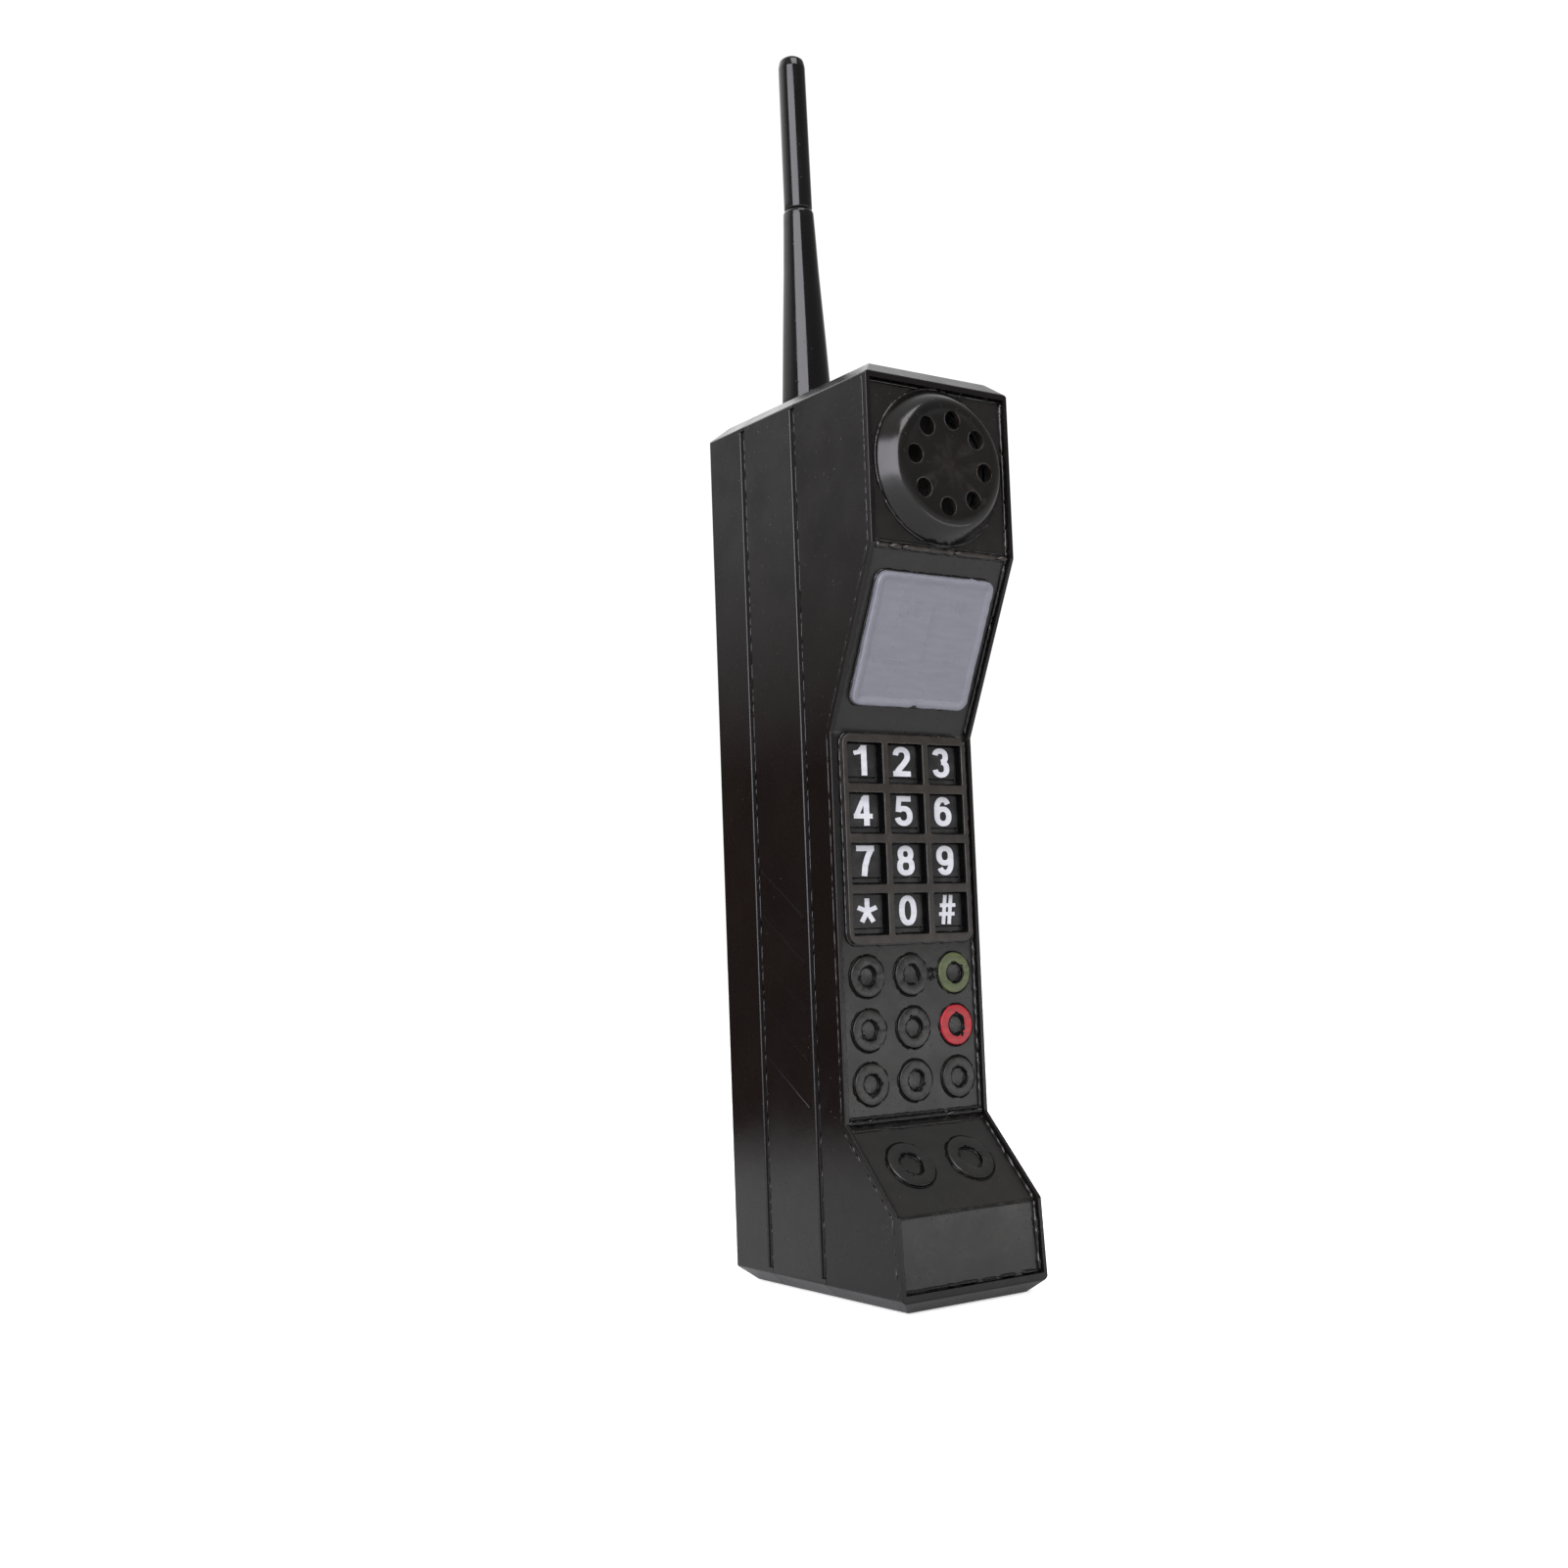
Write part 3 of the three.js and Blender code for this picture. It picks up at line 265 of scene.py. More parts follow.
def painted_plastic(name, colour, warm, roughness, peel=0.00002, dust=0.5, edge_wear_and_highlight=0.5, specular=0.5):
    """Moulded plastic under a sprayed coat: mottled colour, fine orange peel, dust specks
    in the coat, and lighter edges that are partly rubbed paint and partly a painted highlight."""
    material, tree, shader = new_material(name)
    mottle = ramp(tree, noise_field(tree, 35), (0.3, 0), (0.7, 1))
    mottled = blend_colour(tree, mottle, colour, warm)
    patches = ramp(tree, noise_field(tree, 260, 4), (0.42, 0), (0.68, 1))
    # Sharp edges turn lighter: partly rubbed paint, partly a painted highlight.
    rubbed_and_highlit = calculate(tree, "MULTIPLY", edge_share(tree), patches)
    rubbed_and_highlit = calculate(tree, "MULTIPLY", rubbed_and_highlit, edge_wear_and_highlight)
    edged = blend_colour(tree, rubbed_and_highlit, mottled, scaled(warm, 2.2, 0.012))
    dots = specks(tree, 420, 0.1)
    dusty = ramp(tree, noise_field(tree, 60), (0.56, 0), (0.66, dust))
    dust_share = calculate(tree, "MULTIPLY", dots, dusty)
    dusted = blend_colour(tree, dust_share, edged, scaled(warm, 1, 0.1))
    tree.links.new(dusted, shader.inputs["Base Color"])
    uneven_gloss(tree, shader, noise_field(tree, 90, 5), roughness - 0.05, roughness + 0.06)
    shader.inputs["Specular IOR Level"].default_value = specular
    waves = noise_field(tree, 160, 2)
    grain = noise_field(tree, 2600, 2)
    add_bumps(tree, shader, [(waves, peel * 3), (grain, peel * 0.35), (dots, peel * 3)])
    return material


def brushed_paint(name, colour, second, roughness, bump=0.00006, across=(1, 1, 1), specular=0.5):
    """Thick hand-brushed paint with faint strokes."""
    material, tree, shader = new_material(name)
    strokes = noise_field(tree, 140, 4, across)
    share = ramp(tree, strokes, (0.35, 0), (0.65, 1))
    tree.links.new(blend_colour(tree, share, colour, second), shader.inputs["Base Color"])
    uneven_gloss(tree, shader, noise_field(tree, 220, 4), roughness - 0.05, roughness + 0.08)
    shader.inputs["Specular IOR Level"].default_value = specular
    add_bumps(tree, shader, [(strokes, bump), (noise_field(tree, 900, 3), bump * 0.3)])
    return material


def metal(name, colour, roughness):
    material, tree, shader = new_material(name)
    tarnish = ramp(tree, noise_field(tree, 120), (0.35, 0), (0.7, 1))
    tree.links.new(blend_colour(tree, tarnish, colour, scaled(colour, 0.72)), shader.inputs["Base Color"])
    scratch = noise_field(tree, 1800, 4)
    uneven_gloss(tree, shader, scratch, roughness - 0.08, roughness + 0.1)
    shader.inputs["Metallic"].default_value = 1
    add_bumps(tree, shader, [(scratch, 0.00001)])
    return material


def banded(name, bands, roughness):
    """Colours that change with the height in metres: (from height, colour)."""
    material, tree, shader = new_material(name)
    height = coordinate(tree, "Object", "Z")
    current = bands[0][1]
    for start, colour in bands[1:]:
        above = calculate(tree, "GREATER_THAN", height, start)
        current = blend_colour(tree, above, current, colour)
    scuffed = ramp(tree, noise_field(tree, 300, 4), (0.45, 0), (0.8, 0.35))
    tree.links.new(blend_colour(tree, scuffed, current, linear(90, 90, 92)), shader.inputs["Base Color"])
    uneven_gloss(tree, shader, noise_field(tree, 150, 3), roughness - 0.05, roughness + 0.1)
    add_bumps(tree, shader, [(noise_field(tree, 700, 3), 0.00002)])
    return material


def circuit_board(name):
    """Brown laminate with copper tracks under a lacquer."""
    material, tree, shader = new_material(name)
    place = add_node(tree, "ShaderNodeTexCoord")
    tracks = add_node(tree, "ShaderNodeTexBrick", Scale=160.0)
    tracks.inputs["Mortar Size"].default_value = 0.08
    tree.links.new(place.outputs["Object"], tracks.inputs["Vector"])
    share = ramp(tree, tracks.outputs["Fac"], (0.4, 0), (0.6, 1))
    laminate = blend_colour(tree, noise_field(tree, 500, 4), linear(112, 84, 46), linear(134, 100, 58))
    tree.links.new(blend_colour(tree, share, laminate, linear(150, 96, 62)), shader.inputs["Base Color"])
    shader.inputs["Roughness"].default_value = 0.42
    add_bumps(tree, shader, [(tracks.outputs["Fac"], 0.00004), (noise_field(tree, 900, 3), 0.00001)])
    return material


BRUSHED_UP = (1, 1, 6)
DEEP_BLACK = linear(10, 9, 9)

HOUSING = painted_plastic("housing_black", linear(12, 11, 11), linear(17, 14, 13), 0.27, edge_wear_and_highlight=0)
# A little darker and less reflective than the housing finish: painted shade that darkens the front band of
# the side walls.
SHADED_FRONT = painted_plastic(
    "front_black_shaded", linear(12, 10, 9), linear(16, 13, 12), 0.26, edge_wear_and_highlight=0, specular=0.35,
)
PANEL = painted_plastic(
    "panel_black", linear(17, 17, 16), linear(22, 19, 16), 0.29, peel=0.000025, edge_wear_and_highlight=0.12,
)
FRAME = painted_plastic("frame_black", linear(31, 29, 27), linear(37, 32, 27), 0.29, edge_wear_and_highlight=0.6)
KEY = painted_plastic("key_black", linear(26, 26, 28), linear(29, 28, 28), 0.24, dust=0.3, specular=0.4)
EAR = painted_plastic("earpiece_black", linear(11, 11, 11), linear(20, 16, 13), 0.19)
BUTTON = painted_plastic(
    "button_black", linear(17, 17, 16), linear(22, 20, 17), 0.28, peel=0.00003, edge_wear_and_highlight=0.3,
)
SEAM = brushed_paint("seam_paint", DEEP_BLACK, linear(16, 14, 13), 0.12)
# Near-black ink: real paint lines and drops, and also painted shade on the keypad's window walls, on the
# walls of the ring buttons' holes, along the keys' creases and on the floors of the side grooves.
INK_AND_SHADE = brushed_paint("ink_paint_and_shade", linear(7, 7, 7), linear(11, 10, 9), 0.14, specular=0.16)
GREEN = brushed_paint("green_paint", linear(77, 86, 52), linear(62, 70, 44), 0.32, across=BRUSHED_UP)
RED = brushed_paint("red_paint", linear(158, 28, 38), linear(134, 23, 32), 0.3, across=BRUSHED_UP)
GREY = brushed_paint(
    "display_paint", linear(120, 121, 129), linear(115, 116, 124), 0.3, 0.00002, BRUSHED_UP,
)
WHITE = brushed_paint(
    "legend_white", linear(203, 204, 207), linear(190, 191, 196), 0.45, 0.00001, BRUSHED_UP,
)
ANTENNA = painted_plastic(
    "antenna_black", DEEP_BLACK, linear(15, 14, 15), 0.1, peel=0.000006, dust=0.6, edge_wear_and_highlight=0.1,
)
STEEL = metal("screw_steel", linear(168, 168, 170), 0.34)
SPRING = metal("spring_steel", linear(188, 186, 180), 0.25)
MAGNET = metal("magnet_zinc", linear(128, 128, 132), 0.42)
RUBBER = painted_plastic("membrane_rubber", linear(92, 92, 94), linear(82, 80, 78), 0.7, edge_wear_and_highlight=0.1)
PAPER = brushed_paint("speaker_paper", linear(42, 41, 40), linear(30, 29, 28), 0.85, 0.0001)
CHIP = painted_plastic("chip_resin", linear(20, 20, 21), linear(26, 25, 24), 0.3)
WIRE = painted_plastic("wire_red", linear(128, 38, 34), linear(110, 30, 28), 0.45)
BOARD = circuit_board("board_laminate")


# ---------------------------------------------------------------- mesh helpers

SMOOTH_ANGLE = math.radians(32)
PAINT_ANGLE = math.radians(70)


def mesh_object(name, mesh, material, nodes=(), body="phone", angle=SMOOTH_ANGLE):
    """Links a mesh made in millimetres as one piece of the object."""
    mesh.transform(Matrix.Scale(MM, 4))
    if not mesh.has_custom_normals:
        for polygon in mesh.polygons:
            polygon.use_smooth = True
        mesh.set_sharp_from_angle(angle=angle)
    for entry in material if isinstance(material, list) else [material]:
        mesh.materials.append(entry)
    piece = bpy.data.objects.new(name, mesh)
    SCENE.collection.objects.link(piece)
    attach(piece, body)
    if nodes:
        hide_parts(*nodes)


def add_paint(name, beads, material, body="phone"):
    """Beads and drops of paint, joined as one piece."""
    mesh_object(name, joined(beads), material, (), body, PAINT_ANGLE)


def released(name, bm):
    mesh = bpy.data.meshes.new(name)
    bm.to_mesh(mesh)
    bm.free()
    return mesh


def to_mesh(name, bm):
    bmesh.ops.remove_doubles(bm, verts=bm.verts, dist=1e-4)
    bmesh.ops.recalc_face_normals(bm, faces=bm.faces)
    return released(name, bm)


def bridge(bm, lower, upper):
    """Faces between two closed rings of vertices, either of which may be a single point."""
    for index in range(len(lower)):
        following = (index + 1) % len(lower)
        corners = dict.fromkeys((lower[index], lower[following], upper[following], upper[index]))
        if len(corners) > 2:
            bm.faces.new(list(corners))


def boolean(mesh, tool, operation="DIFFERENCE"):
    """The mesh after a boolean with another one, by a modifier on a temporary object."""
    holder = bpy.data.objects.new("holder", mesh)
    other = bpy.data.objects.new("tool", tool)
    SCENE.collection.objects.link(holder)
    SCENE.collection.objects.link(other)
    step = holder.modifiers.new("boolean", "BOOLEAN")
    step.object = other
    step.operation = operation
    step.solver = "EXACT"
    bpy.context.view_layer.update()
    graph = bpy.context.evaluated_depsgraph_get()
    result = bpy.data.meshes.new_from_object(holder.evaluated_get(graph))
    for item in (holder, other):
        bpy.data.objects.remove(item)
    return result


def joined(meshes):
    """Separate meshes as one mesh, without a boolean."""
    bm = bmesh.new()
    for mesh in meshes:
        bm.from_mesh(mesh)
    return released("joined", bm)


def flattened(mesh):
    """Merges what lies in one plane into single faces."""
    bm = bmesh.new()
    bm.from_mesh(mesh)
    bmesh.ops.remove_doubles(bm, verts=bm.verts, dist=1e-3)
    bmesh.ops.dissolve_limit(bm, angle_limit=math.radians(0.6), verts=bm.verts, edges=bm.edges)
    return released("flattened", bm)


def rounded(mesh, width, segments, choose=None, angle=24):
    """Rounds the sharp edges, or those that choose(edge) picks."""
    bm = bmesh.new()
    bm.from_mesh(mesh)
    limit = math.radians(angle)
    edges = [e for e in bm.edges if len(e.link_faces) == 2 and e.calc_face_angle(0) > limit]
    if choose:
        edges = [e for e in edges if choose(e)]
    bmesh.ops.bevel(
        bm, geom=edges, offset=width, offset_type="OFFSET", segments=segments, profile=0.5,
        affect="EDGES", clamp_overlap=False,
    )
    return released("rounded", bm)


# A plane whose faces add up to more than this many square millimetres stays flat.
FLAT_AREA = 60
# Faces at a vertex share a normal where the cosine between them is above this.
SAME_FAN = 0.8


def edges_near(axis, level, tolerance):
    """Picks the edges that lie at one level of an axis."""
    return lambda edge: all(abs(getattr(v.co, axis) - level) < tolerance for v in edge.verts)


def plane_key(polygon):
    """Tells one plane from another by its normal and its distance from the origin."""
    offset = polygon.normal.dot(polygon.center)
    return tuple(round(value, 2) for value in polygon.normal) + (round(offset, 1),)


def flat_faced(mesh):
    """Gives a mesh normals that keep big flat faces flat beside their rounded edges."""
    mesh.set_sharp_from_angle(angle=SMOOTH_ANGLE)
    planes = {}
    around = [[] for _ in mesh.vertices]
    for polygon in mesh.polygons:
        polygon.use_smooth = True
        planes.setdefault(plane_key(polygon), []).append(polygon)
        for vertex in polygon.vertices:
            around[vertex].append(polygon.index)
    area = [0.0] * len(mesh.polygons)
    facing = [None] * len(mesh.polygons)
    for members in planes.values():
        total = sum(polygon.area for polygon in members)
        widest = max(members, key=lambda polygon: polygon.area).normal.copy()
        for polygon in members:
            area[polygon.index] = total
            facing[polygon.index] = widest
    normals = []
    for polygon in mesh.polygons:
        own = facing[polygon.index]
        for vertex in polygon.vertices:
            near = [other for other in around[vertex] if facing[other].dot(own) > SAME_FAN]
            largest = max(near, key=lambda other: area[other])
            if area[polygon.index] > FLAT_AREA:
                normals.append(own)
            elif area[largest] > FLAT_AREA:
                normals.append(facing[largest])
            else:
                normals.append(sum((facing[other] * area[other] for other in near), Vector()).normalized())
    mesh.normals_split_custom_set(normals)
    return mesh


def prism(points, low, high, axes="XY"):
    """A closed outline drawn out along the third axis."""
    bm = bmesh.new()
    def place(u, v, w):
        return {"XY": (u, v, w), "YZ": (w, u, v), "XZ": (u, w, v)}[axes]
    bottom = [bm.verts.new(place(u, v, low)) for u, v in points]
    top = [bm.verts.new(place(u, v, high)) for u, v in points]
    bm.faces.new(bottom)
    bm.faces.new(top)
    bridge(bm, bottom, top)
    return to_mesh("prism", bm)


def block(low, high):
    outline = [(low[0], low[1]), (high[0], low[1]), (high[0], high[1]), (low[0], high[1])]
    return prism(outline, low[2], high[2])


def rounded_outline(low, high, radius, steps=8):
    """A rectangle with round corners, anticlockwise from the lower right corner."""
    (left, bottom), (right, top) = low, high
    points = []
    for x, y, start in ((right, bottom, -90), (right, top, 0), (left, top, 90), (left, bottom, 180)):
        centre_x = x - math.copysign(radius, x - (left + right) / 2)
        centre_y = y - math.copysign(radius, y - (bottom + top) / 2)
        for step in range(steps + 1):
            turn = math.radians(start + 90 * step / steps)
            points.append((centre_x + radius * math.cos(turn), centre_y + radius * math.sin(turn)))
    return points


def turned(outline, segments=96):
    """A body of revolution round Z from (radius, height) points; radius 0 closes it."""
    bm = bmesh.new()
    rings = []
    for radius, height in outline:
        if radius == 0:
            rings.append([bm.verts.new((0, 0, height))] * segments)
            continue
        angles = [2 * math.pi * index / segments for index in range(segments)]
        rings.append([bm.verts.new((radius * math.cos(a), radius * math.sin(a), height)) for a in angles])
    for lower, upper in zip(rings, rings[1:]):
        bridge(bm, lower, upper)
    return to_mesh("turned", bm)


def rod(radius, low, high, segments):
    return turned([(0, low), (radius, low), (radius, high), (0, high)], segments)


def looking_back(x, y, z):
    """Puts a turned body's axis along +Y, with its origin at a point."""
    return Matrix.Translation((x, y, z)) @ Matrix.Rotation(-math.pi / 2, 4, "X")


def corner_arc(points, radius, steps=4):
    """Rounds the inner corners of an open outline of (radius, height) points."""
    result = [points[0]]
    for before, corner, after in zip(points, points[1:], points[2:]):
        corner_v = Vector(corner)
        back = Vector(before) - corner_v
        ahead = Vector(after) - corner_v
        reach = min(radius, back.length * 0.45, ahead.length * 0.45)
        start = corner_v + back.normalized() * reach
        end = corner_v + ahead.normalized() * reach
        for step in range(steps + 1):
            share = step / steps
            bent = start * (1 - share) ** 2 + corner_v * 2 * share * (1 - share) + end * share ** 2
            result.append((bent.x, bent.y))
    result.append(points[-1])
    return result


def moved(mesh, matrix):
    copy = mesh.copy()
    copy.transform(matrix)
    return copy


def rough_up(mesh, amount, scale, seed):
    """Pushes the points about by smooth noise, for hand-finished shapes."""
    offset = Vector((seed * 7.3, seed * 3.1, 0))
    for vertex in mesh.vertices:
        vertex.co += noise.noise_vector(vertex.co * scale + offset) * amount


BEAD_SIDES = 7
BEAD_STEP = 0.8
BEAD_THINNEST = 0.12
BEAD_FOOT = 0.15


def bead(path, normal, half_width, height, seed, closed=False, broken=0.0):
    """A line of thick paint on a flat surface. Its width and height vary, and where the
    noise is under broken it thins away to nothing."""
    bm = bmesh.new()
    rings = []
    last = len(path) - 1
    for index, point in enumerate(path):
        before = path[index - 1] if closed or index else point
        after = path[(index + 1) % len(path)] if closed or index < last else point
        across = (after - before).normalized().cross(normal).normalized()
        sample = noise.noise(point * 0.45 + Vector((seed * 5.1, 0, 0)))
        fine = noise.noise(point * 1.3 + Vector((0, seed * 3.7, 0)))
        share = max(BEAD_THINNEST, 1 + 0.5 * sample + 0.35 * fine)
        if sample + fine * 0.5 < broken - 0.5:
            share = BEAD_THINNEST
        if not closed and index in (0, last):
            share *= 0.4
        ring = []
        for side in range(BEAD_SIDES + 1):
            turn = math.pi * side / BEAD_SIDES
            lift = normal * (math.sin(turn) * height * share)
            ring.append(bm.verts.new(point + across * (math.cos(turn) * half_width * share) + lift))
        for rim in (ring[-1], ring[0]):
            ring.append(bm.verts.new(rim.co - normal * BEAD_FOOT))
        rings.append(ring)
    if not closed:
        bm.faces.new(rings[0])
        bm.faces.new(rings[-1])
    for first, second in zip(rings, rings[1:] + (rings[:1] if closed else [])):
        bridge(bm, first, second)
    return to_mesh("bead", bm)


def straight_bead(matrix, start, end, half_width, height, seed, broken=0.0):
    """A bead between two points of a face, given as (x, s, h)."""
    first = matrix @ Vector(start)
    last = matrix @ Vector(end)
    count = max(2, int((last - first).length / BEAD_STEP))
    path = [first.lerp(last, index / count) for index in range(count + 1)]
    return bead(path, outward(matrix).normalized(), half_width, height, seed, broken=broken)


def ring_bead(matrix, centre, radius, half_width, height, seed, broken=0.0, wobble=0.12):
    """A closed bead round a centre (x, s, h) of a face."""
    count = max(24, int(radius * 9))
    path = []
    for index in range(count):
        turn = 2 * math.pi * index / count
        out = Vector((math.cos(turn), math.sin(turn), 0))
        reach = radius + wobble * noise.noise(out * 2.2 + Vector((seed * 1.9, 0, 4)))
        path.append(matrix @ (Vector(centre) + out * reach))
    return bead(path, outward(matrix).normalized(), half_width, height, seed, True, broken)


def dense_outline(outline, step):
    """Points along a closed outline, about one step apart."""
    points = []
    for (x0, y0), (x1, y1) in zip(outline, outline[1:] + outline[:1]):
        count = max(1, int(math.hypot(x1 - x0, y1 - y0) / step))
        points += [(x0 + (x1 - x0) * i / count, y0 + (y1 - y0) * i / count) for i in range(count)]
    return points


def outline_bead(matrix, outline, half_width, height, seed):
    """A closed bead on the front panel that follows an outline of (x, s) points."""
    path = [matrix @ Vector((x, y, PANEL_FACE)) for x, y in dense_outline(outline, BEAD_STEP)]
    return bead(path, outward(matrix).normalized(), half_width, height, seed, closed=True)


# ---------------------------------------------------------------- housings

BODY_ROUNDING = 0.36
END_WALL = 4.2
MOUTH_INSET = 6.4
PANEL_CLEARANCE = 0.1
DOOR_CLEARANCE = 0.25
HIDDEN_SEAM = GROOVE["half_width"] - 0.35
FAR = 60
RIB_COUNT = 5
RIB_PITCH = 12.7
RIB_SLOPE = 0.68
RIB_FIRST_Z = 50.7
RIB_FRONT_Y = 0.9
RIB_REAR_Y = 21.2
SCREW_NAMES = ["lower_left", "upper_left", "lower_right", "upper_right"]


def profile_at_depth(depth, low_z, high_z):
    """The rim profile moved into the body by a depth, cut at two heights."""
    lines = []
    for start, end in zip(RIM_PROFILE, RIM_PROFILE[1:]):
        along = (end - start).normalized()
        lines.append((start + Vector((along.y, -along.x)) * depth, along))
    corners = []
    for (first, along), (second, turn) in zip(lines, lines[1:]):
        cross = along.x * turn.y - along.y * turn.x
        gap = second - first
        corners.append(first + along * ((gap.x * turn.y - gap.y * turn.x) / cross))
    first, along = lines[0]
    last, rise = lines[-1]
    low = first + along * ((low_z - first.y) / along.y)
    high = last + rise * ((high_z - last.y) / rise.y)
    return [low, *corners, high]


def front_layer(outer, inner, low_z, high_z, half_width, radius=0.0):
    """A stepped plate that follows the rim profile between two depths."""
    faces = []
    for depth in (outer, inner):
        face = [tuple(point) for point in profile_at_depth(depth, low_z, high_z)]
        if radius:
            face = corner_arc(face, radius, 5)
        faces.append(face)
    front, back = faces
    return prism(front + back[::-1], -half_width, half_width, "YZ")


def body_block():
    """The whole outer body with soft edges."""
    bm = bmesh.new()
    ends = [(0, TOP_EDGE_INSET), (TOP_EDGE_HEIGHT, 0)]
    levels = ends + [(HEIGHT - z, inset) for z, inset in ends[::-1]]
    for z, inset in levels:
        for x in (-HALF_WIDTH + inset, HALF_WIDTH - inset):
            for y in (FRONT_Y + inset, REAR_Y - inset):
                bm.verts.new((x, y, z))
    bmesh.ops.convex_hull(bm, input=bm.verts)
    chamfered = to_mesh("chamfered", bm)
    flank = HALF_WIDTH - REAR_CHAMFER
    plan = [
        (-HALF_WIDTH, FRONT_Y - 1), (HALF_WIDTH, FRONT_Y - 1), (HALF_WIDTH, REAR_Y - REAR_CHAMFER),
        (flank, REAR_Y), (-flank, REAR_Y), (-HALF_WIDTH, REAR_Y - REAR_CHAMFER),
    ]
    front = [tuple(point) for point in profile_at_depth(0, -10, HEIGHT + 10)]
    side = front + [(REAR_Y + 10, HEIGHT + 10), (REAR_Y + 10, -10)]
    solid = boolean(chamfered, prism(plan, -1, HEIGHT + 1), "INTERSECT")
    side_solid = prism(side, -HALF_WIDTH - 9, HALF_WIDTH + 9, "YZ")
    solid = boolean(flattened(solid), side_solid, "INTERSECT")
    return rounded(flattened(solid), BODY_ROUNDING, 4, angle=6)


def groove_cutter(seam_y, side):
    """A narrow flat-bottomed channel whose rear edge is a little rounded."""
    depth = GROOVE["depth"]
    # The channel's section: height out of the wall, and distance behind the seam.
    section = [
        (1.0, 1.6), (0.03, 0.78), (-0.06, 0.6), (-0.16, 0.44), (-0.32, 0.32), (0.1 - depth, 0.2),
        (-depth, -0.1), (-depth, -1.55), (0.15 - depth, -1.72), (-0.2, -1.9), (0.03, -2.1), (1.0, -2.9),
    ]
    outline = [(side * (HALF_WIDTH + out), seam_y + behind) for out, behind in section]
    return prism(outline, GROOVE["low_z"], GROOVE["high_z"])


def rib(index, side):
    """One slanting rib on the side wall, low and rounded."""
    section = [
        (-0.9, -0.4), (0.9, -0.4), (0.8, 0.03), (0.45, 0.22), (0, 0.28), (-0.45, 0.22), (-0.8, 0.03),
    ]
    run = RIB_REAR_Y - RIB_FRONT_Y
    mesh = prism(section, 0, math.hypot(run, run * RIB_SLOPE))
    along = Vector((0, 1, RIB_SLOPE)).normalized()
    out = Vector((side, 0, 0))
    across = out.cross(along)
    axes = Matrix((across, out, along)).transposed().to_4x4()
    z = RIB_FIRST_Z + RIB_PITCH * index + RIB_SLOPE * RIB_FRONT_Y
    return moved(mesh, Matrix.Translation((side * HALF_WIDTH, RIB_FRONT_Y, z)) @ axes)


def band(shell, low_y, high_y):
    """The part of the shell between two depths."""
    return boolean(shell, block((-FAR, low_y, -FAR), (FAR, high_y, FAR + HEIGHT)), "INTERSECT")


def add_housings():
    inner = HALF_WIDTH - WALL
    hollow = block((-inner, -30, END_WALL), (inner, REAR_Y - WALL, HEIGHT - END_WALL))
    seams = (FRONT_SEAM_Y, REAR_SEAM_Y)
    grooves = joined([groove_cutter(y, side) for y in seams for side in (-1, 1)])
    shell = boolean(boolean(body_block(), grooves), hollow)
    front_end, rear_end = (y - HIDDEN_SEAM for y in seams)
    gap = SEAM_GAP / 2
    add_front_shell(band(shell, -FAR, front_end - gap), inner)
    add_middle_shell(band(shell, front_end + gap, rear_end - gap))
    add_rear_shell(band(shell, rear_end + gap, FAR))


def add_front_shell(front, inner):
    depth = PANEL_THICKNESS - PANEL_FACE + PANEL_CLEARANCE
    low_z = PANEL_LOW_Z - PANEL_CLEARANCE
    high_z = PANEL_HIGH_Z + PANEL_CLEARANCE
    rebate = front_layer(-3, depth, low_z, high_z, HALF_WIDTH - RIM_WIDTH)
    mouth = block((-inner, -60, MOUTH_INSET), (inner, 0, HEIGHT - MOUTH_INSET))
    front = boolean(boolean(front, rebate), mouth)
    mesh_object("front_shell", flat_faced(front), SHADED_FRONT, ["front_housing"])


def add_middle_shell(middle):
    ribs = joined([rib(index, side) for index in range(RIB_COUNT) for side in (-1, 1)])
    socket_bore = moved(rod(4.2, 0, 16, 48), antenna_matrix() @ Matrix.Translation((0, 0, -9)))
    middle = boolean(boolean(middle, ribs, "UNION"), socket_bore)
    mesh_object("middle_shell", flat_faced(middle), HOUSING, ["middle_housing"])


def add_rear_shell(rear):
    low, high = node_box("battery_door")
    low_corner = (low.x - DOOR_CLEARANCE, low.z - DOOR_CLEARANCE)
    high_corner = (high.x + DOOR_CLEARANCE, high.z + DOOR_CLEARANCE)
    cutters = [prism(rounded_outline(low_corner, high_corner, 1.2, 4), 30, 50, "XZ")]
    posts = []
    for name in SCREW_NAMES:
        place = node_centre("housing_screw_" + name)
        bore = turned([(0, -2), (2.9, -2), (2.9, 18.4), (3.5, 19.1), (3.5, 30), (0, 30)], 48)
        cutters.append(moved(bore, looking_back(place.x, 22, place.z)))
        posts.append(moved(rod(3.6, 3, 19, 48), looking_back(place.x, 20, place.z)))
    rear = boolean(boolean(rear, joined(posts), "UNION"), joined(cutters))
    mesh_object("rear_shell", flat_faced(rear), HOUSING, ["rear_cover"])


# ---------------------------------------------------------------- front panel and its paint

FUNCTION_BUTTONS = [f"function_button_{index}" for index in range(1, 10)]
CHIN_BUTTONS = ["chin_button_left", "chin_button_right"]
FUNCTION_HOLE_RADIUS = 5.8
CHIN_HOLE_RADIUS = 7.3
EARPIECE_HOLE_RADIUS = 18.2
KEYPAD_HOLE_HALF_WIDTH = 20.9
KEYPAD_HOLE_Z = (96.0, 150.8)
DISPLAY_HOLE_HALF_WIDTH = 17
DISPLAY_HOLE_S = (DISPLAY_S[0] + 3.5, DISPLAY_S[1] - 3.5)


def face_position(node, matrix):
    """A node's centre as (x, s) on a face."""
    local = matrix.inverted() @ node_centre(node)
    return local.x, local.y


def place_on_face(node, matrix):
    """Puts what is made round the origin at a node's place on a face."""
    x, s = face_position(node, matrix)
    return matrix @ Matrix.Translation((x, s, 0))


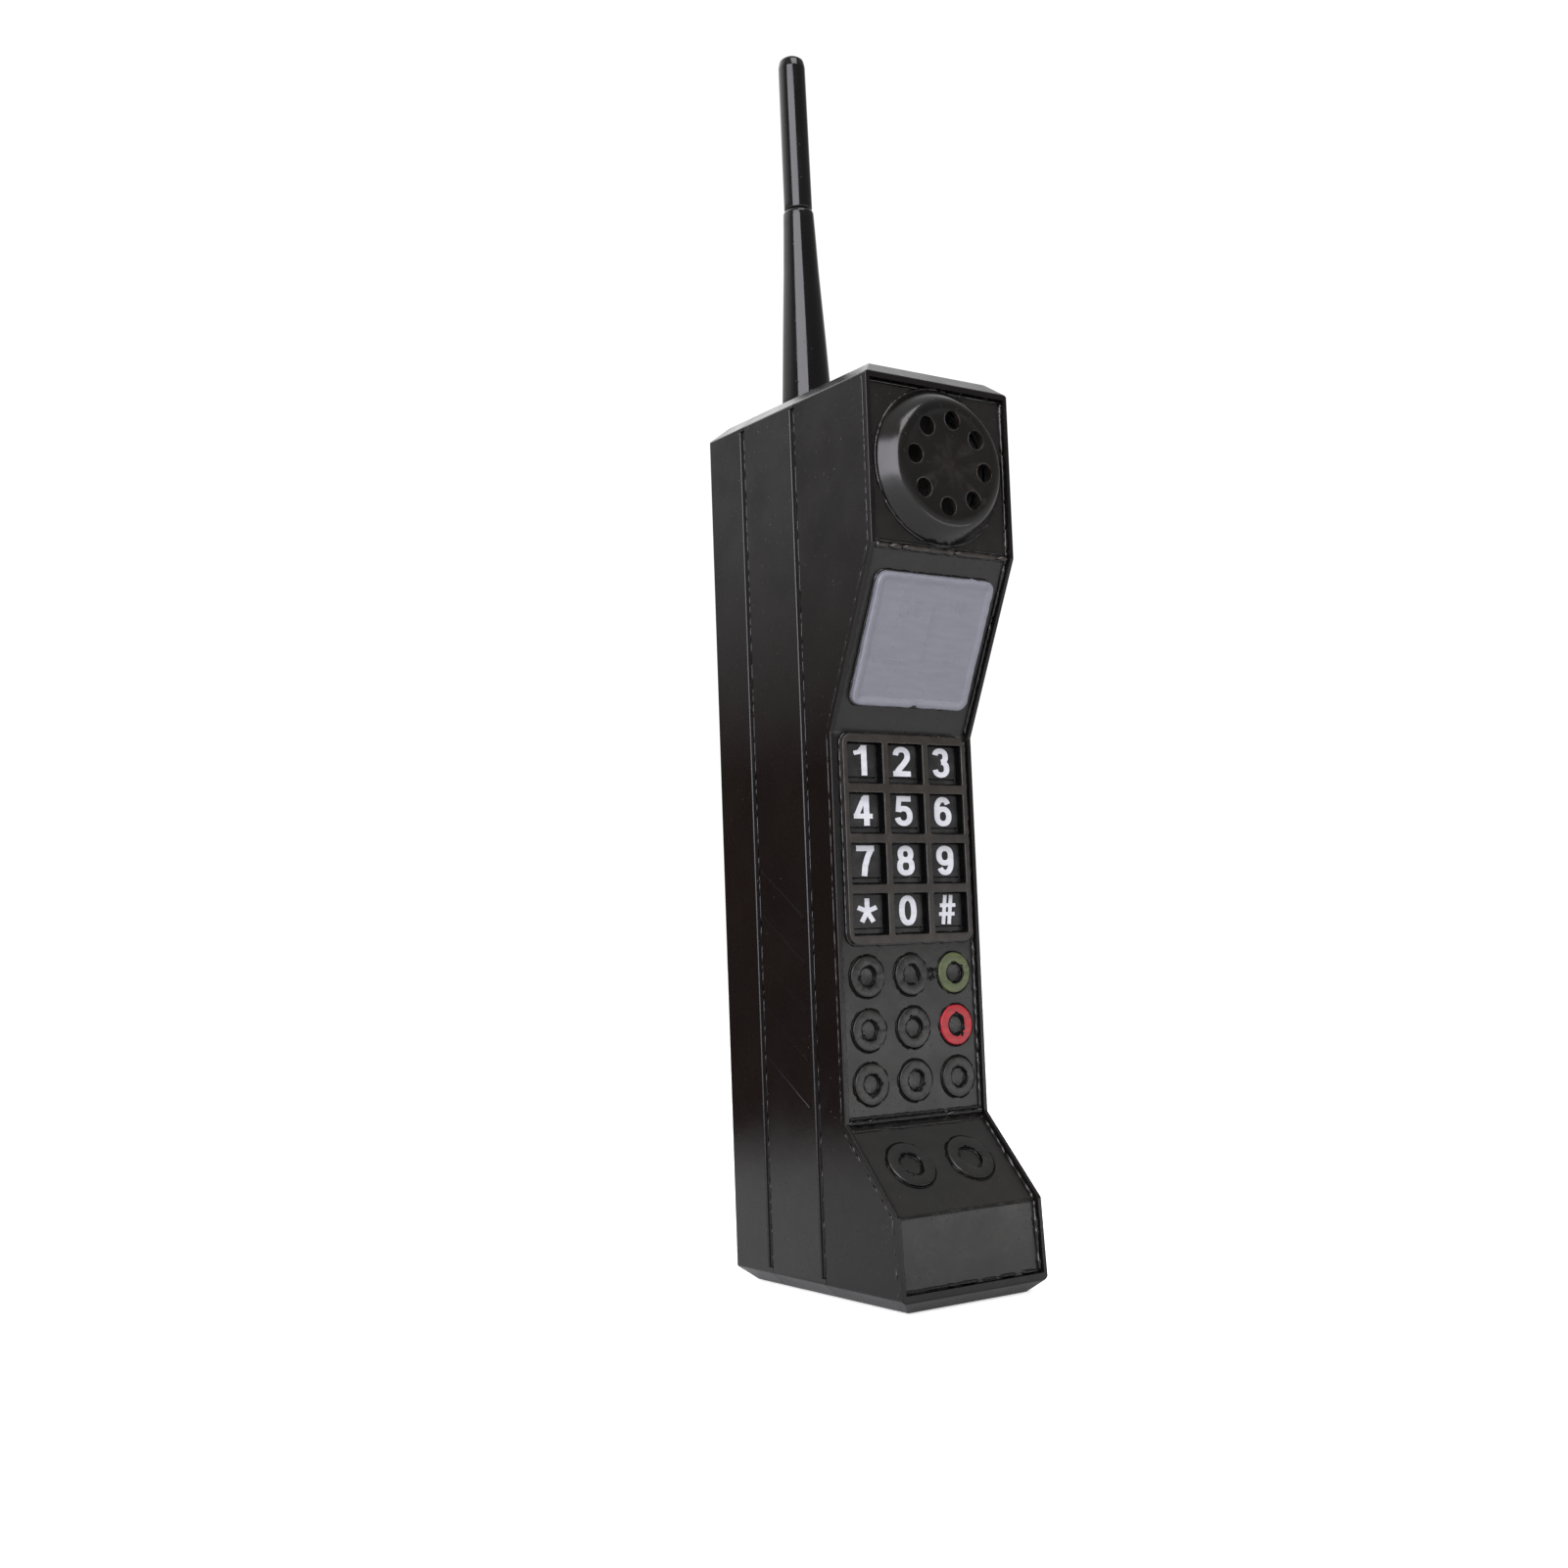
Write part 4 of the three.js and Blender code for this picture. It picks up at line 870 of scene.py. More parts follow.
def add_front_panel():
    half_width = HALF_WIDTH - RIM_WIDTH - PANEL_CLEARANCE
    inner = PANEL_THICKNESS - PANEL_FACE
    skin = front_layer(-PANEL_FACE, inner, PANEL_LOW_Z, PANEL_HIGH_Z, half_width, 0.8)
    cutters = []
    for nodes, matrix, radius in (
        (FUNCTION_BUTTONS, KEY_FACE, FUNCTION_HOLE_RADIUS), (CHIN_BUTTONS, CHIN_FACE, CHIN_HOLE_RADIUS),
    ):
        cutters += [moved(rod(radius, -8, 8, 64), place_on_face(node, matrix)) for node in nodes]
    reach = KEYPAD_HOLE_HALF_WIDTH
    low_z, high_z = KEYPAD_HOLE_Z
    cutters.append(block((KEYPAD_X - reach, -20, low_z), (KEYPAD_X + reach, -10, high_z)))
    reach = DISPLAY_HOLE_HALF_WIDTH
    low_s, high_s = DISPLAY_HOLE_S
    cutters.append(moved(block((-reach, low_s, -6), (reach, high_s, 3)), DISPLAY_FACE))
    place = EAR_FACE @ Matrix.Translation((0, EARPIECE_S, 0))
    cutters.append(moved(rod(EARPIECE_HOLE_RADIUS, -8, 8, 96), place))
    panel = flat_faced(boolean(skin, joined(cutters)))
    mesh_object("stepped_panel", panel, PANEL, ["front_panel"])
    add_fold_bar("fold_bar_lower", KEY_FACE, CHIN_FACE, half_width, 3, SEAM)
    add_fold_bar("fold_bar_upper", EAR_FACE, DISPLAY_FACE, half_width, 5, FRAME)


def add_fold_bar(name, above, below, half_width, seed, material):
    """A round-topped bar across the front, where two faces meet."""
    path = [above @ Vector((x, 0, PANEL_FACE)) for x in frange(-half_width, half_width, 0.9)]
    normal = (outward(below) + outward(above)).normalized()
    mesh_object(name, bead(path, normal, 0.85, 1.35, seed), material, angle=math.radians(60))


def frange(start, end, step):
    """Values from start to end, about one step apart."""
    count = max(1, round((end - start) / step))
    return [start + (end - start) * index / count for index in range(count + 1)]


def add_seam_paint():
    """Glossy black paint that was run by hand along the seams; the wide line in each side groove is also
    painted shade.
    """
    faces = [FRONT_FOOT, CHIN_FACE, KEY_FACE, DISPLAY_FACE, EAR_FACE]
    add_rim_paint(faces)
    add_wall_paint(faces)
    add_groove_paint()


def add_rim_paint(faces):
    """The lines inside the rim, along it and across the front."""
    edge_x = HALF_WIDTH - RIM_WIDTH - 0.45
    lines = []
    for index, matrix in enumerate(faces):
        low = 1.6 if index == 0 else 0.6
        high = FACE_LENGTHS[index] - (1.6 if index == 4 else 0.6)
        for side in (-1, 1):
            start = (side * edge_x, low, PANEL_FACE)
            end = (side * edge_x, high, PANEL_FACE)
            lines.append(straight_bead(matrix, start, end, 0.55, 0.75, index * 2 + side))
    crossing = [
        (EAR_FACE, FACE_LENGTHS[4] - 1.75), (EAR_FACE, 1.2), (DISPLAY_FACE, FACE_LENGTHS[3] - 1.2),
        (KEY_FACE, 1.3), (CHIN_FACE, FACE_LENGTHS[1] - 1.2), (FRONT_FOOT, 1.9),
    ]
    for seed, (matrix, s) in enumerate(crossing, 21):
        start, end = (-edge_x, s, PANEL_FACE), (edge_x, s, PANEL_FACE)
        lines.append(straight_bead(matrix, start, end, 0.45, 0.5, seed))
    start, end = (-edge_x, 0.3, PANEL_FACE), (edge_x, 0.3, PANEL_FACE)
    lines.append(straight_bead(CHIN_FACE, start, end, 0.3, 0.16, 31, 0.55))
    add_paint("rim_seam_paint", lines, SEAM)


def add_wall_paint(faces):
    """The broken lines on the side walls, just behind the rim."""
    lines = []
    depth = -1.75
    for index, matrix in enumerate(faces):
        for side in (-1, 1):
            first = matrix @ Vector((side * HALF_WIDTH, 0.5, depth))
            last = matrix @ Vector((side * HALF_WIDTH, FACE_LENGTHS[index] - 0.5, depth))
            path = [first.lerp(last, share) for share in frange(0, 1, BEAD_STEP / FACE_LENGTHS[index])]
            normal = outward(matrix @ Matrix.Rotation(side * math.pi / 2, 4, "Y"))
            lines.append(bead(path, normal, 0.36, 0.24, 40 + index * 2 + side, broken=0.36))
    add_paint("wall_seam_paint", lines, SEAM)


def add_groove_paint():
    """A wide near-black line on the floor of each side groove, which is paint and also painted shade in the
    groove, and a thin broken one beside it.
    """
    heights = frange(GROOVE["low_z"] + 1, GROOVE["high_z"] - 1, 0.9)
    wide_shade_lines = []
    thin_lines = []
    for seam_y, seed in ((FRONT_SEAM_Y, 61), (REAR_SEAM_Y, 64)):
        for side in (-1, 1):
            x = side * (HALF_WIDTH - GROOVE["depth"])
            out = Vector((side, 0, 0))
            wide = [Vector((x, seam_y - 0.95, z)) for z in heights]
            thin = [Vector((x + side * 0.2, seam_y - 1.25, z)) for z in heights]
            wide_shade_lines.append(bead(wide, out, 0.6, 0.3, seed + side))
            thin_lines.append(bead(thin, out, 0.2, 0.36, seed + side + 7, broken=0.4))
    add_paint("groove_seam_paint_and_shade", wide_shade_lines, INK_AND_SHADE)
    add_paint("groove_run_paint", thin_lines, SEAM)


# ---------------------------------------------------------------- earpiece

EAR_HOLE_COUNT = 8
EAR_HOLE_REACH = 12.1


def add_earpiece():
    profile = [
        (0, 2.5), (15.5, 2.5), (19.2, PANEL_FACE + 0.05), (21.5, PANEL_FACE + 0.05),
        (21.4, PANEL_FACE + 0.6), (18.9, 2.5), (17.6, 3.75), (15.6, 4.15), (13.6, 3.9), (0, 3.9),
    ]
    place = EAR_FACE @ Matrix.Translation((0, EARPIECE_S, 0))
    holes = []
    lips = []
    for index in range(EAR_HOLE_COUNT):
        turn = math.radians(-6 + index * 360 / EAR_HOLE_COUNT)
        x, s = EAR_HOLE_REACH * math.cos(turn), EAR_HOLE_REACH * math.sin(turn)
        holes.append(moved(rod(2.6, 0, 9, 40), Matrix.Translation((x, s, 0))))
        lips.append(ring_bead(place, (x, s, 3.86), 2.72, 0.14, 0.1, 80 + index, wobble=0.03))
    cup = boolean(turned(corner_arc(profile, 1.1), 144), joined(holes))
    mesh_object("earpiece_boss", moved(cup, place), EAR, ["earpiece_cover"])
    add_paint("earpiece_hole_lips", lips, FRAME)
    base = ring_bead(place, (0, 0, PANEL_FACE), 21.6, 0.5, 0.55, 90, wobble=0.1)
    add_paint("earpiece_base_paint", [base], SEAM)


# ---------------------------------------------------------------- display

DISPLAY_HALF_WIDTH = 20.2
# The hand-laid paint of the display from its edge inwards: the inset, the height, and how
# far the line strays.
DISPLAY_LOOPS = [
    (0.0, PANEL_FACE + 0.05, 0.05), (0.0, PANEL_FACE + 0.6, 0.12), (0.05, 0.1, 0.2), (0.35, 0.42, 0.16),
    (0.8, 0.5, 0.12), (1.5, 0.44, 0.1), (2.1, 0.22, 0.08), (2.5, 0.13, 0.06), (2.8, 0.12, 0.0),
]
# The places where the paint missed or ran over its edge: x, s, reach and amount.
DISPLAY_NOTCHES = [
    (1.6, DISPLAY_S[0], 0.9, 0.75), (12.5, DISPLAY_S[1], 0.7, -0.3), (19.0, 10, 1.6, -0.25),
]
NOTCHED_INSET = 1.6
# Faint generic relief on the display: (x, s from the middle, width, height).
DISPLAY_MARKS = [
    (-9.5, 11.5, 3.2, 0.7), (-4.5, 11.5, 3.2, 0.7), (-10.2, 8.6, 0.7, 3.4), (-7.6, 8.9, 0.7, 2.8),
    (-5.0, 8.6, 0.7, 3.4), (6.5, 11.0, 0.6, 3.0), (8.6, 11.0, 0.6, 3.0), (10.6, 10.4, 0.6, 4.2),
    (-8.0, -6.0, 9.0, 0.55), (6.0, -8.5, 11.0, 0.5), (0.8, 2.5, 0.5, 16.0),
]


def flat_noise(point, scale, level):
    return noise.noise(Vector((point.x * scale, point.y * scale, level)))


def notch(point, inward):
    """How far the display's edge moves inwards at a point."""
    shift = Vector((0, 0))
    for x, s, reach, amount in DISPLAY_NOTCHES:
        distance = math.hypot(point.x - x, point.y - s)
        shift += inward * (amount * math.exp(-((distance / reach) ** 2)))
    return shift


def display_loop(bm, dense, inset, height, stray):
    """One closed ring of vertices of the display's paint."""
    ring = []
    for index, point in enumerate(dense):
        along = (dense[(index + 1) % len(dense)] - dense[index - 1]).normalized()
        inward = Vector((-along.y, along.x))
        wander = flat_noise(point, 0.22, 2.0) + 0.5 * flat_noise(point, 0.8, 5.0)
        place = point + inward * inset
        place += inward * (wander * stray)
        if inset <= NOTCHED_INSET:
            place += notch(point, inward)
        lumps = flat_noise(place, 0.5, 9.0) * (0.1 if inset > 0 else 0)
        ring.append(bm.verts.new((place.x, place.y, height + lumps)))
    return ring


def display_marks():
    middle_s = (DISPLAY_S[0] + DISPLAY_S[1]) / 2
    marks = []
    for x, s, width, height in DISPLAY_MARKS:
        low = (x - width / 2, middle_s + s - height / 2)
        high = (x + width / 2, middle_s + s + height / 2)
        marks.append(prism(rounded_outline(low, high, min(width, height) * 0.45, 4), 0.05, 0.21))
    return joined(marks)


def add_display():
    low, high = (-DISPLAY_HALF_WIDTH, DISPLAY_S[0]), (DISPLAY_HALF_WIDTH, DISPLAY_S[1])
    outline = rounded_outline(low, high, 3.0)
    dense = [Vector(point) for point in dense_outline(outline, 0.7)]
    bm = bmesh.new()
    rings = [display_loop(bm, dense, *loop) for loop in DISPLAY_LOOPS]
    for lower, upper in zip(rings, rings[1:]):
        bridge(bm, lower, upper)
    bm.faces.new(rings[-1])
    bm.faces.new(rings[0])
    plate = moved(flat_faced(to_mesh("display", bm)), DISPLAY_FACE)
    mesh_object("display_plate", plate, GREY, ["display_window"])
    relief = moved(display_marks(), DISPLAY_FACE)
    mesh_object("display_relief", relief, GREY, angle=math.radians(50))
    add_paint("display_base_paint", [outline_bead(DISPLAY_FACE, outline, 0.5, 0.5, 33)], SEAM)


# ---------------------------------------------------------------- keypad

KEY_LEGENDS = {
    "key_1": "1", "key_2": "2", "key_3": "3", "key_4": "4", "key_5": "5", "key_6": "6",
    "key_7": "7", "key_8": "8", "key_9": "9", "key_star": "*", "key_0": "0", "key_hash": "#",
}
FRAME_TOP = 0.3
FRAME_HALF_WIDTH = 21.6
WINDOW_HALF = (6.05, 5.65)


def add_keypad_frame():
    low_s, high_s = (corner.z / MM - RIM_PROFILE[2].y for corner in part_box("keypad_frame"))
    left, right = KEYPAD_X - FRAME_HALF_WIDTH, KEYPAD_X + FRAME_HALF_WIDTH
    outline = rounded_outline((left, low_s), (right, high_s), 3.0, 6)
    plate = prism(outline, PANEL_FACE + 0.05, FRAME_TOP)
    insert = block((left + 1, low_s + 1.6, PANEL_FACE - 2), (right - 1, high_s - 1.6, PANEL_FACE + 0.5))
    windows = []
    for key in KEY_LEGENDS:
        x, s = face_position(key, KEY_FACE)
        low_corner = (x - WINDOW_HALF[0], s - WINDOW_HALF[1])
        high_corner = (x + WINDOW_HALF[0], s + WINDOW_HALF[1])
        windows.append(prism(rounded_outline(low_corner, high_corner, 0.5, 3), -8, 3))
    solid = flattened(boolean(boolean(plate, insert, "UNION"), joined(windows)))
    solid = flat_faced(rounded(solid, 0.28, 3, edges_near("z", FRAME_TOP, 0.01)))
    # Faces on the window walls get the near-black ink as painted shade in the recesses round the keys; the
    # rest keeps the frame's finish.
    for polygon in solid.polygons:
        centre = polygon.center
        inside = abs(centre.x - KEYPAD_X) < FRAME_HALF_WIDTH - 1 and centre.z < FRAME_TOP - 0.3
        polygon.material_index = 1 if inside and abs(polygon.normal.z) < 0.5 else 0
    mesh_object("keypad_bezel", moved(solid, KEY_FACE), [FRAME, INK_AND_SHADE], ["keypad_frame"])
    add_paint("keypad_base_paint", [outline_bead(KEY_FACE, outline, 0.55, 0.65, 35)], SEAM)


def key_cap():
    """A key cap whose raised plate leaves a lower strip along its lower edge and a thin
    one along its right edge, with its flange and its plunger."""
    half_x, half_s = KEY_HALF
    low = PANEL_FACE - 2.1
    sunk = prism(rounded_outline((-half_x, -half_s), (half_x, half_s), 0.4, 3), low, KEY_STRIP)
    low_corner, high_corner = (-half_x + 0.1, -half_s + 1.8), (half_x - 0.7, half_s - 0.1)
    plate = prism(rounded_outline(low_corner, high_corner, 0.4, 3), low + 0.2, KEY_TOP)
    solid = flattened(boolean(sunk, plate, "UNION"))
    cap = rounded(solid, 0.1, 2, lambda edge: all(v.co.z > KEY_STRIP - 0.01 for v in edge.verts), 50)
    wide_x, wide_s = half_x + 0.6, half_s + 0.6
    flange = block((-wide_x, -wide_s, PANEL_FACE - 3.1), (wide_x, wide_s, PANEL_FACE - 2.11))
    plunger = block((-3, -3, PANEL_FACE - 3.8), (3, 3, PANEL_FACE - 3.11))
    return joined([cap, flange, plunger])


def arc(centre_u, centre_v, radius_u, radius_v, start, end):
    """Points on a slightly squared ellipse between two angles in degrees."""
    count = max(2, round(abs(end - start) / 12))
    power = 2 / 2.3
    points = []
    for index in range(count + 1):
        turn = math.radians(start + (end - start) * index / count)
        cosine, sine = math.cos(turn), math.sin(turn)
        u = centre_u + radius_u * math.copysign(abs(cosine) ** power, cosine)
        v = centre_v + radius_v * math.copysign(abs(sine) ** power, sine)
        points.append((u, v))
    return points


def star_tip(turn):
    return (0.5 + 0.8 * math.cos(turn), 0.5 + 0.52 * math.sin(turn))


# The middle lines of the legends' strokes in a unit box, and each stroke's width in
# millimetres. A stroke whose ends meet is closed.
PEN = 1.5
SIX = [(arc(0.5, 0.3, 0.5, 0.3, 0, 360), PEN), (arc(0.5, 0.56, 0.5, 0.44, 32, 180) + [(0, 0.3)], PEN)]
LEGEND_STROKES = {
    "0": [(arc(0.5, 0.5, 0.5, 0.5, 0, 360), PEN)],
    "1": [([(0.72, -0.115), (0.72, 1.115)], PEN), ([(-0.1, 0.79), (0.3, 0.83), (0.62, 1.02)], 1.2)],
    "2": [(arc(0.5, 0.73, 0.49, 0.27, 176, -28) + [(0.66, 0.4), (0.3, 0.2), (0.08, 0.03)], PEN),
          ([(-0.23, 0), (1.23, 0)], PEN)],
    "3": [(arc(0.47, 0.765, 0.45, 0.235, 168, -82), PEN), (arc(0.5, 0.27, 0.5, 0.27, 84, -170), PEN)],
    "4": [([(0.76, -0.115), (0.76, 1.115)], PEN), ([(-0.28, 0.27), (1.25, 0.27)], 1.35),
          ([(0.62, 1.03), (-0.06, 0.3)], 1.35)],
    "5": [([(0.08, 1), (1.12, 1)], PEN), ([(0.16, 1.1), (0.03, 0.46)], 1.3),
          (arc(0.48, 0.3, 0.52, 0.3, 138, -168), PEN)],
    "6": SIX,
    "7": [([(-0.2, 1), (1.25, 1)], PEN), ([(1.03, 1.0), (0.72, 0.68), (0.48, 0.3), (0.38, -0.115)], PEN)],
    "8": [(arc(0.5, 0.765, 0.43, 0.235, 0, 360), PEN), (arc(0.5, 0.27, 0.5, 0.27, 0, 360), PEN)],
    "9": [([(1 - u, 1 - v) for u, v in points], width) for points, width in SIX],
    "#": [([(0.12, -0.1), (0.36, 1.1)], 1.0), ([(0.62, -0.1), (0.86, 1.1)], 1.0),
          ([(-0.2, 0.32), (1.12, 0.32)], 1.05), ([(-0.1, 0.68), (1.22, 0.68)], 1.05)],
    "*": [([(0.5, 0.5), star_tip(math.radians(turn))], 1.25) for turn in (90, 162, 234, 306, 18)],
}
LEGEND_HEIGHT = 8.3
LEGEND_SPAN = (3.3, LEGEND_HEIGHT - PEN)
LEGEND_WIDEN = 1.28
LEGEND_RELIEF = 0.12


def stroke(points, width):
    """A flat stroke of constant width round a middle line."""
    path = [Vector((u * LEGEND_SPAN[0], v * LEGEND_SPAN[1])) for u, v in points]
    closed = (path[0] - path[-1]).length < 1e-6
    if closed:
        path.pop()
    count = len(path)
    bm = bmesh.new()
    rings = []
    for index, point in enumerate(path):
        before = path[index - 1] if closed or index else point
        after = path[(index + 1) % count] if closed or index < count - 1 else point
        first = (point - before).normalized() if point != before else (after - point).normalized()
        second = (after - point).normalized() if after != point else first
        bisector = (first + second).normalized()
        side = Vector((-bisector.y, bisector.x)) * (width / 2 / max(0.5, bisector.dot(second)))
        left, right = point + side, point - side
        corners = [(left, 0.0), (right, 0.0), (right, LEGEND_RELIEF), (left, LEGEND_RELIEF)]
        rings.append([bm.verts.new((place.x, place.y, h)) for place, h in corners])
    for lower, upper in zip(rings, rings[1:] + (rings[:1] if closed else [])):
        bridge(bm, lower, upper)
    if not closed:
        bm.faces.new(rings[0])
        bm.faces.new(rings[-1])
    return to_mesh("stroke", bm)


def legend(text):
    """A printed legend in plain bold strokes, as a thin raised shape round its middle."""
    strokes = [stroke(points, width) for points, width in LEGEND_STROKES[text]]
    solid = strokes[0]
    for other in strokes[1:]:
        solid = boolean(solid, other, "UNION")
    middle = Vector((LEGEND_SPAN[0] / 2, LEGEND_SPAN[1] / 2, 0))
    solid.transform(Matrix.Diagonal((LEGEND_WIDEN, 1, 1, 1)) @ Matrix.Translation(-middle))
    return solid


def key_crease_shade(seed):
    """Thin black lines along the lower and the right edge of a key's raised plate and along the key's lower
    edge: painted shade in the creases.
    """
    half_x, half_s = KEY_HALF
    lines = []
    for start, end, half_width, height, first_seed in (
        ((-half_x, -half_s + 1.7), (half_x, -half_s + 1.7), 0.2, 0.3, 200),
        ((half_x - 0.6, -half_s), (half_x - 0.6, half_s), 0.22, 0.34, 230),
        ((-half_x, -half_s + 0.15), (half_x, -half_s + 0.15), 0.2, 0.16, 260),
    ):
        ends = [(*corner, KEY_STRIP - 0.02) for corner in (start, end)]
        lines.append(straight_bead(Matrix.Identity(4), *ends, half_width, height, first_seed + seed))
    return joined(lines)


def add_keys():
    for seed, (key, text) in enumerate(KEY_LEGENDS.items()):
        place = place_on_face(key, KEY_FACE)
        body = key + "_cap"
        mesh_object(key + "_face", moved(flat_faced(key_cap()), place), KEY, [key], body)
        # Painted shade along the creases of each key.
        add_paint(key + "_line", [moved(key_crease_shade(seed), place)], INK_AND_SHADE, body)
        print_mesh = moved(legend(text), place @ Matrix.Translation((0.1, 0.85, KEY_TOP - 0.06)))
        mesh_object(key + "_legend", print_mesh, WHITE, (), body, math.radians(60))


# ---------------------------------------------------------------- ring buttons

PAINTED_BUTTONS = {
    "function_button_3": (GREEN, "green_button"),
    "function_button_6": (RED, "red_button"),
}
# The radius of a button and of the hole in its ring.
FUNCTION_RING = (5.6, 2.75)
CHIN_RING = (7.1, 3.5)


def ring_button(radius, hole_radius, seed):
    """A round button with a raised ring round a shallow dish. Its faces have material 0 on
    the ring, 1 in the dish and 2 on the wall between them."""
    bottom = PANEL_FACE - 2.1
    dish = BUTTON_TOP - BUTTON_DISH
    edge = radius + 1
    base = [(0, bottom - 1.7), (3, bottom - 1.7), (edge, bottom - 1), (edge, bottom), (radius, bottom)]
    front = [(radius, BUTTON_TOP), (hole_radius, BUTTON_TOP), (hole_radius, dish), (0, dish)]
    mesh = turned(base + corner_arc([base[-1], *front], 0.42)[1:], 80)
    for vertex in mesh.vertices:
        if vertex.co.z > bottom + 0.2:
            vertex.co += noise.noise_vector(vertex.co * 0.9 + Vector((seed * 2.3, 0, 0))) * 0.07
    # The wall of the ring's hole gets the near-black ink (slot 2): partly black paint, partly painted shade
    # in the hole.
    for polygon in mesh.polygons:
        centre = polygon.center
        reach = math.hypot(centre.x, centre.y)
        steep = abs(polygon.normal.z) < 0.75 and centre.z > bottom + 0.3
        wall = steep and abs(reach - hole_radius) < 0.3
        polygon.material_index = 2 if wall else (0 if reach > hole_radius else 1)
    return mesh


def add_ring_buttons():
    rows = [(node, KEY_FACE, *FUNCTION_RING) for node in FUNCTION_BUTTONS]
    rows += [(node, CHIN_FACE, *CHIN_RING) for node in CHIN_BUTTONS]
    outlines = []
    for seed, (node, matrix, radius, hole_radius) in enumerate(rows):
        place = place_on_face(node, matrix)
        finish, slot = PAINTED_BUTTONS.get(node, (BUTTON, "button"))
        body = node + "_cap"
        mesh = moved(ring_button(radius, hole_radius, seed), place)
        mesh_object(node + "_ring", mesh, [finish, BUTTON, INK_AND_SHADE], [node], body)
        foot = (0, 0, BUTTON_TOP - BUTTON_DISH)
        inner = ring_bead(place, foot, hole_radius - 0.2, 0.3, 0.5, 100 + seed, 0.25)
        rim = (0, 0, BUTTON_TOP - 0.06)
        lip = ring_bead(place, rim, hole_radius + 0.28, 0.2, 0.13, 120 + seed, 0.45)
        add_paint(node + "_paint", [inner, lip, *blobs(place, hole_radius, seed)], INK_AND_SHADE, body)
        around = ring_bead(place, (0, 0, PANEL_FACE), radius + 0.3, 0.26, 0.4, 140 + seed, 0.25)
        outlines.append(around)
    add_paint("button_outline_paint", outlines, INK_AND_SHADE)
    add_splatter()


def blobs(place, hole_radius, seed):
    """Small drops of black paint that ran over the edge of a ring's hole."""
    chooser = random.Random(seed)
    drops = []
    for _ in range(chooser.choice((1, 2, 3))):
        turn = chooser.uniform(0, 2 * math.pi)
        reach = hole_radius + chooser.uniform(0.0, 0.7)
        size = chooser.uniform(0.45, 0.85)
        drops.append(drop(place, reach * math.cos(turn), reach * math.sin(turn), BUTTON_TOP - 0.08, size))
    return drops


def drop(place, x, s, h, size):
    """A small flat drop of paint at a place (x, s, h)."""
    profile = [
        (0, -0.1), (size, -0.1), (size, 0), (size * 0.9, size * 0.16), (size * 0.6, size * 0.3),
        (0, size * 0.36),
    ]
    mesh = turned(profile, 16)
    rough_up(mesh, size * 0.25, 1.4 / size, x + s)
    return moved(mesh, place @ Matrix.Translation((x, s, h)))


def add_splatter():
    """Paint that was dropped between the top middle ring and the green one."""
    first = face_position("function_button_2", KEY_FACE)
    second = face_position("function_button_3", KEY_FACE)
    chooser = random.Random(17)
    drops = []
    for _ in range(16):
        x = (first[0] + second[0]) / 2 + chooser.uniform(-2.4, 2.4)
        s = (first[1] + second[1]) / 2 + chooser.uniform(-1.5, 1.5)
        drops.append(drop(KEY_FACE, x, s, PANEL_FACE, chooser.uniform(0.35, 0.8)))
    add_paint("panel_splatter", drops, INK_AND_SHADE)


# ---------------------------------------------------------------- antenna

BOOT_PROFILE = [
    (0, -8), (4, -8), (4, -6.6), (2.4, -6.6), (2.4, -4.6), (4, -4.6), (4, 0.25), (7.3, 0.25), (7.2, 3.0),
    (6.3, 22), (5.2, 42), (4.65, 55), (4.5, 59.3), (4.0, 60), (2.6, 60), (2.6, 47), (0, 47),
]
MAST_PROFILE = [
    (0, 47.6), (2.5, 47.6), (2.5, 60.2), (4.1, 60.2), (4.15, 62), (4.0, 104.0), (3.6, 106.0),
    (2.1, 107.2), (0, 107.5),
]


def antenna_matrix():
    """Height 0 of the antenna is the top of the body, and it leans a little."""
    lean = Matrix.Rotation(-math.radians(0.29), 4, "X") @ Matrix.Rotation(-math.radians(0.39), 4, "Y")
    return Matrix.Translation((-9.5, 11, HEIGHT)) @ lean


def add_antenna():
    boot = turned(corner_arc(BOOT_PROFILE, 0.5, 3), 96)
    for vertex in boot.vertices:
        if vertex.co.z > 1:
            out = Vector((vertex.co.x, vertex.co.y, 0)).normalized()
            vertex.co += out * 0.07 * noise.noise(Vector((out.x * 1.2, out.y * 1.2, vertex.co.z * 0.09)))
    mast = turned(corner_arc(MAST_PROFILE, 0.6), 96)
    place = antenna_matrix()
    mesh_object("antenna_sleeve", moved(boot, place), ANTENNA, ["antenna_boot"], "antenna")
    mesh_object("antenna_rod", moved(mast, place), ANTENNA, ["antenna_mast"], "antenna")


# ---------------------------------------------------------------- back, screws and inside


def add_screw(node, radius, height, shank_radius, body="phone"):
    """A pan head screw with a cross recess, its head to the rear."""
    low, high = node_box(node)
    tip = low.y - high.y
    profile = [
        (0, tip), (shank_radius * 0.4, tip), (shank_radius, tip + 1.5), (shank_radius, -height),
        (radius, -height), (radius, -0.5), (radius * 0.7, 0), (0, 0),
    ]
    screw = turned(corner_arc(profile, 0.3, 3), 40)
    arm, half = radius * 0.62, radius * 0.13
    screw = boolean(screw, block((-arm, -half, -0.9), (arm, half, 1)))
    screw = boolean(screw, block((-half, -arm, -0.9), (half, arm, 1)))
    centre = (low + high) / 2
    place = looking_back(centre.x, high.y, centre.z)
    mesh_object(node + "_cross", moved(screw, place), STEEL, [node], body)


def add_screws():
    for name in SCREW_NAMES:
        add_screw("housing_screw_" + name, 2.6, 2, 1.35)
    add_screw("battery_door_screw", 2.4, 1.2, 1.05, "battery_hatch")


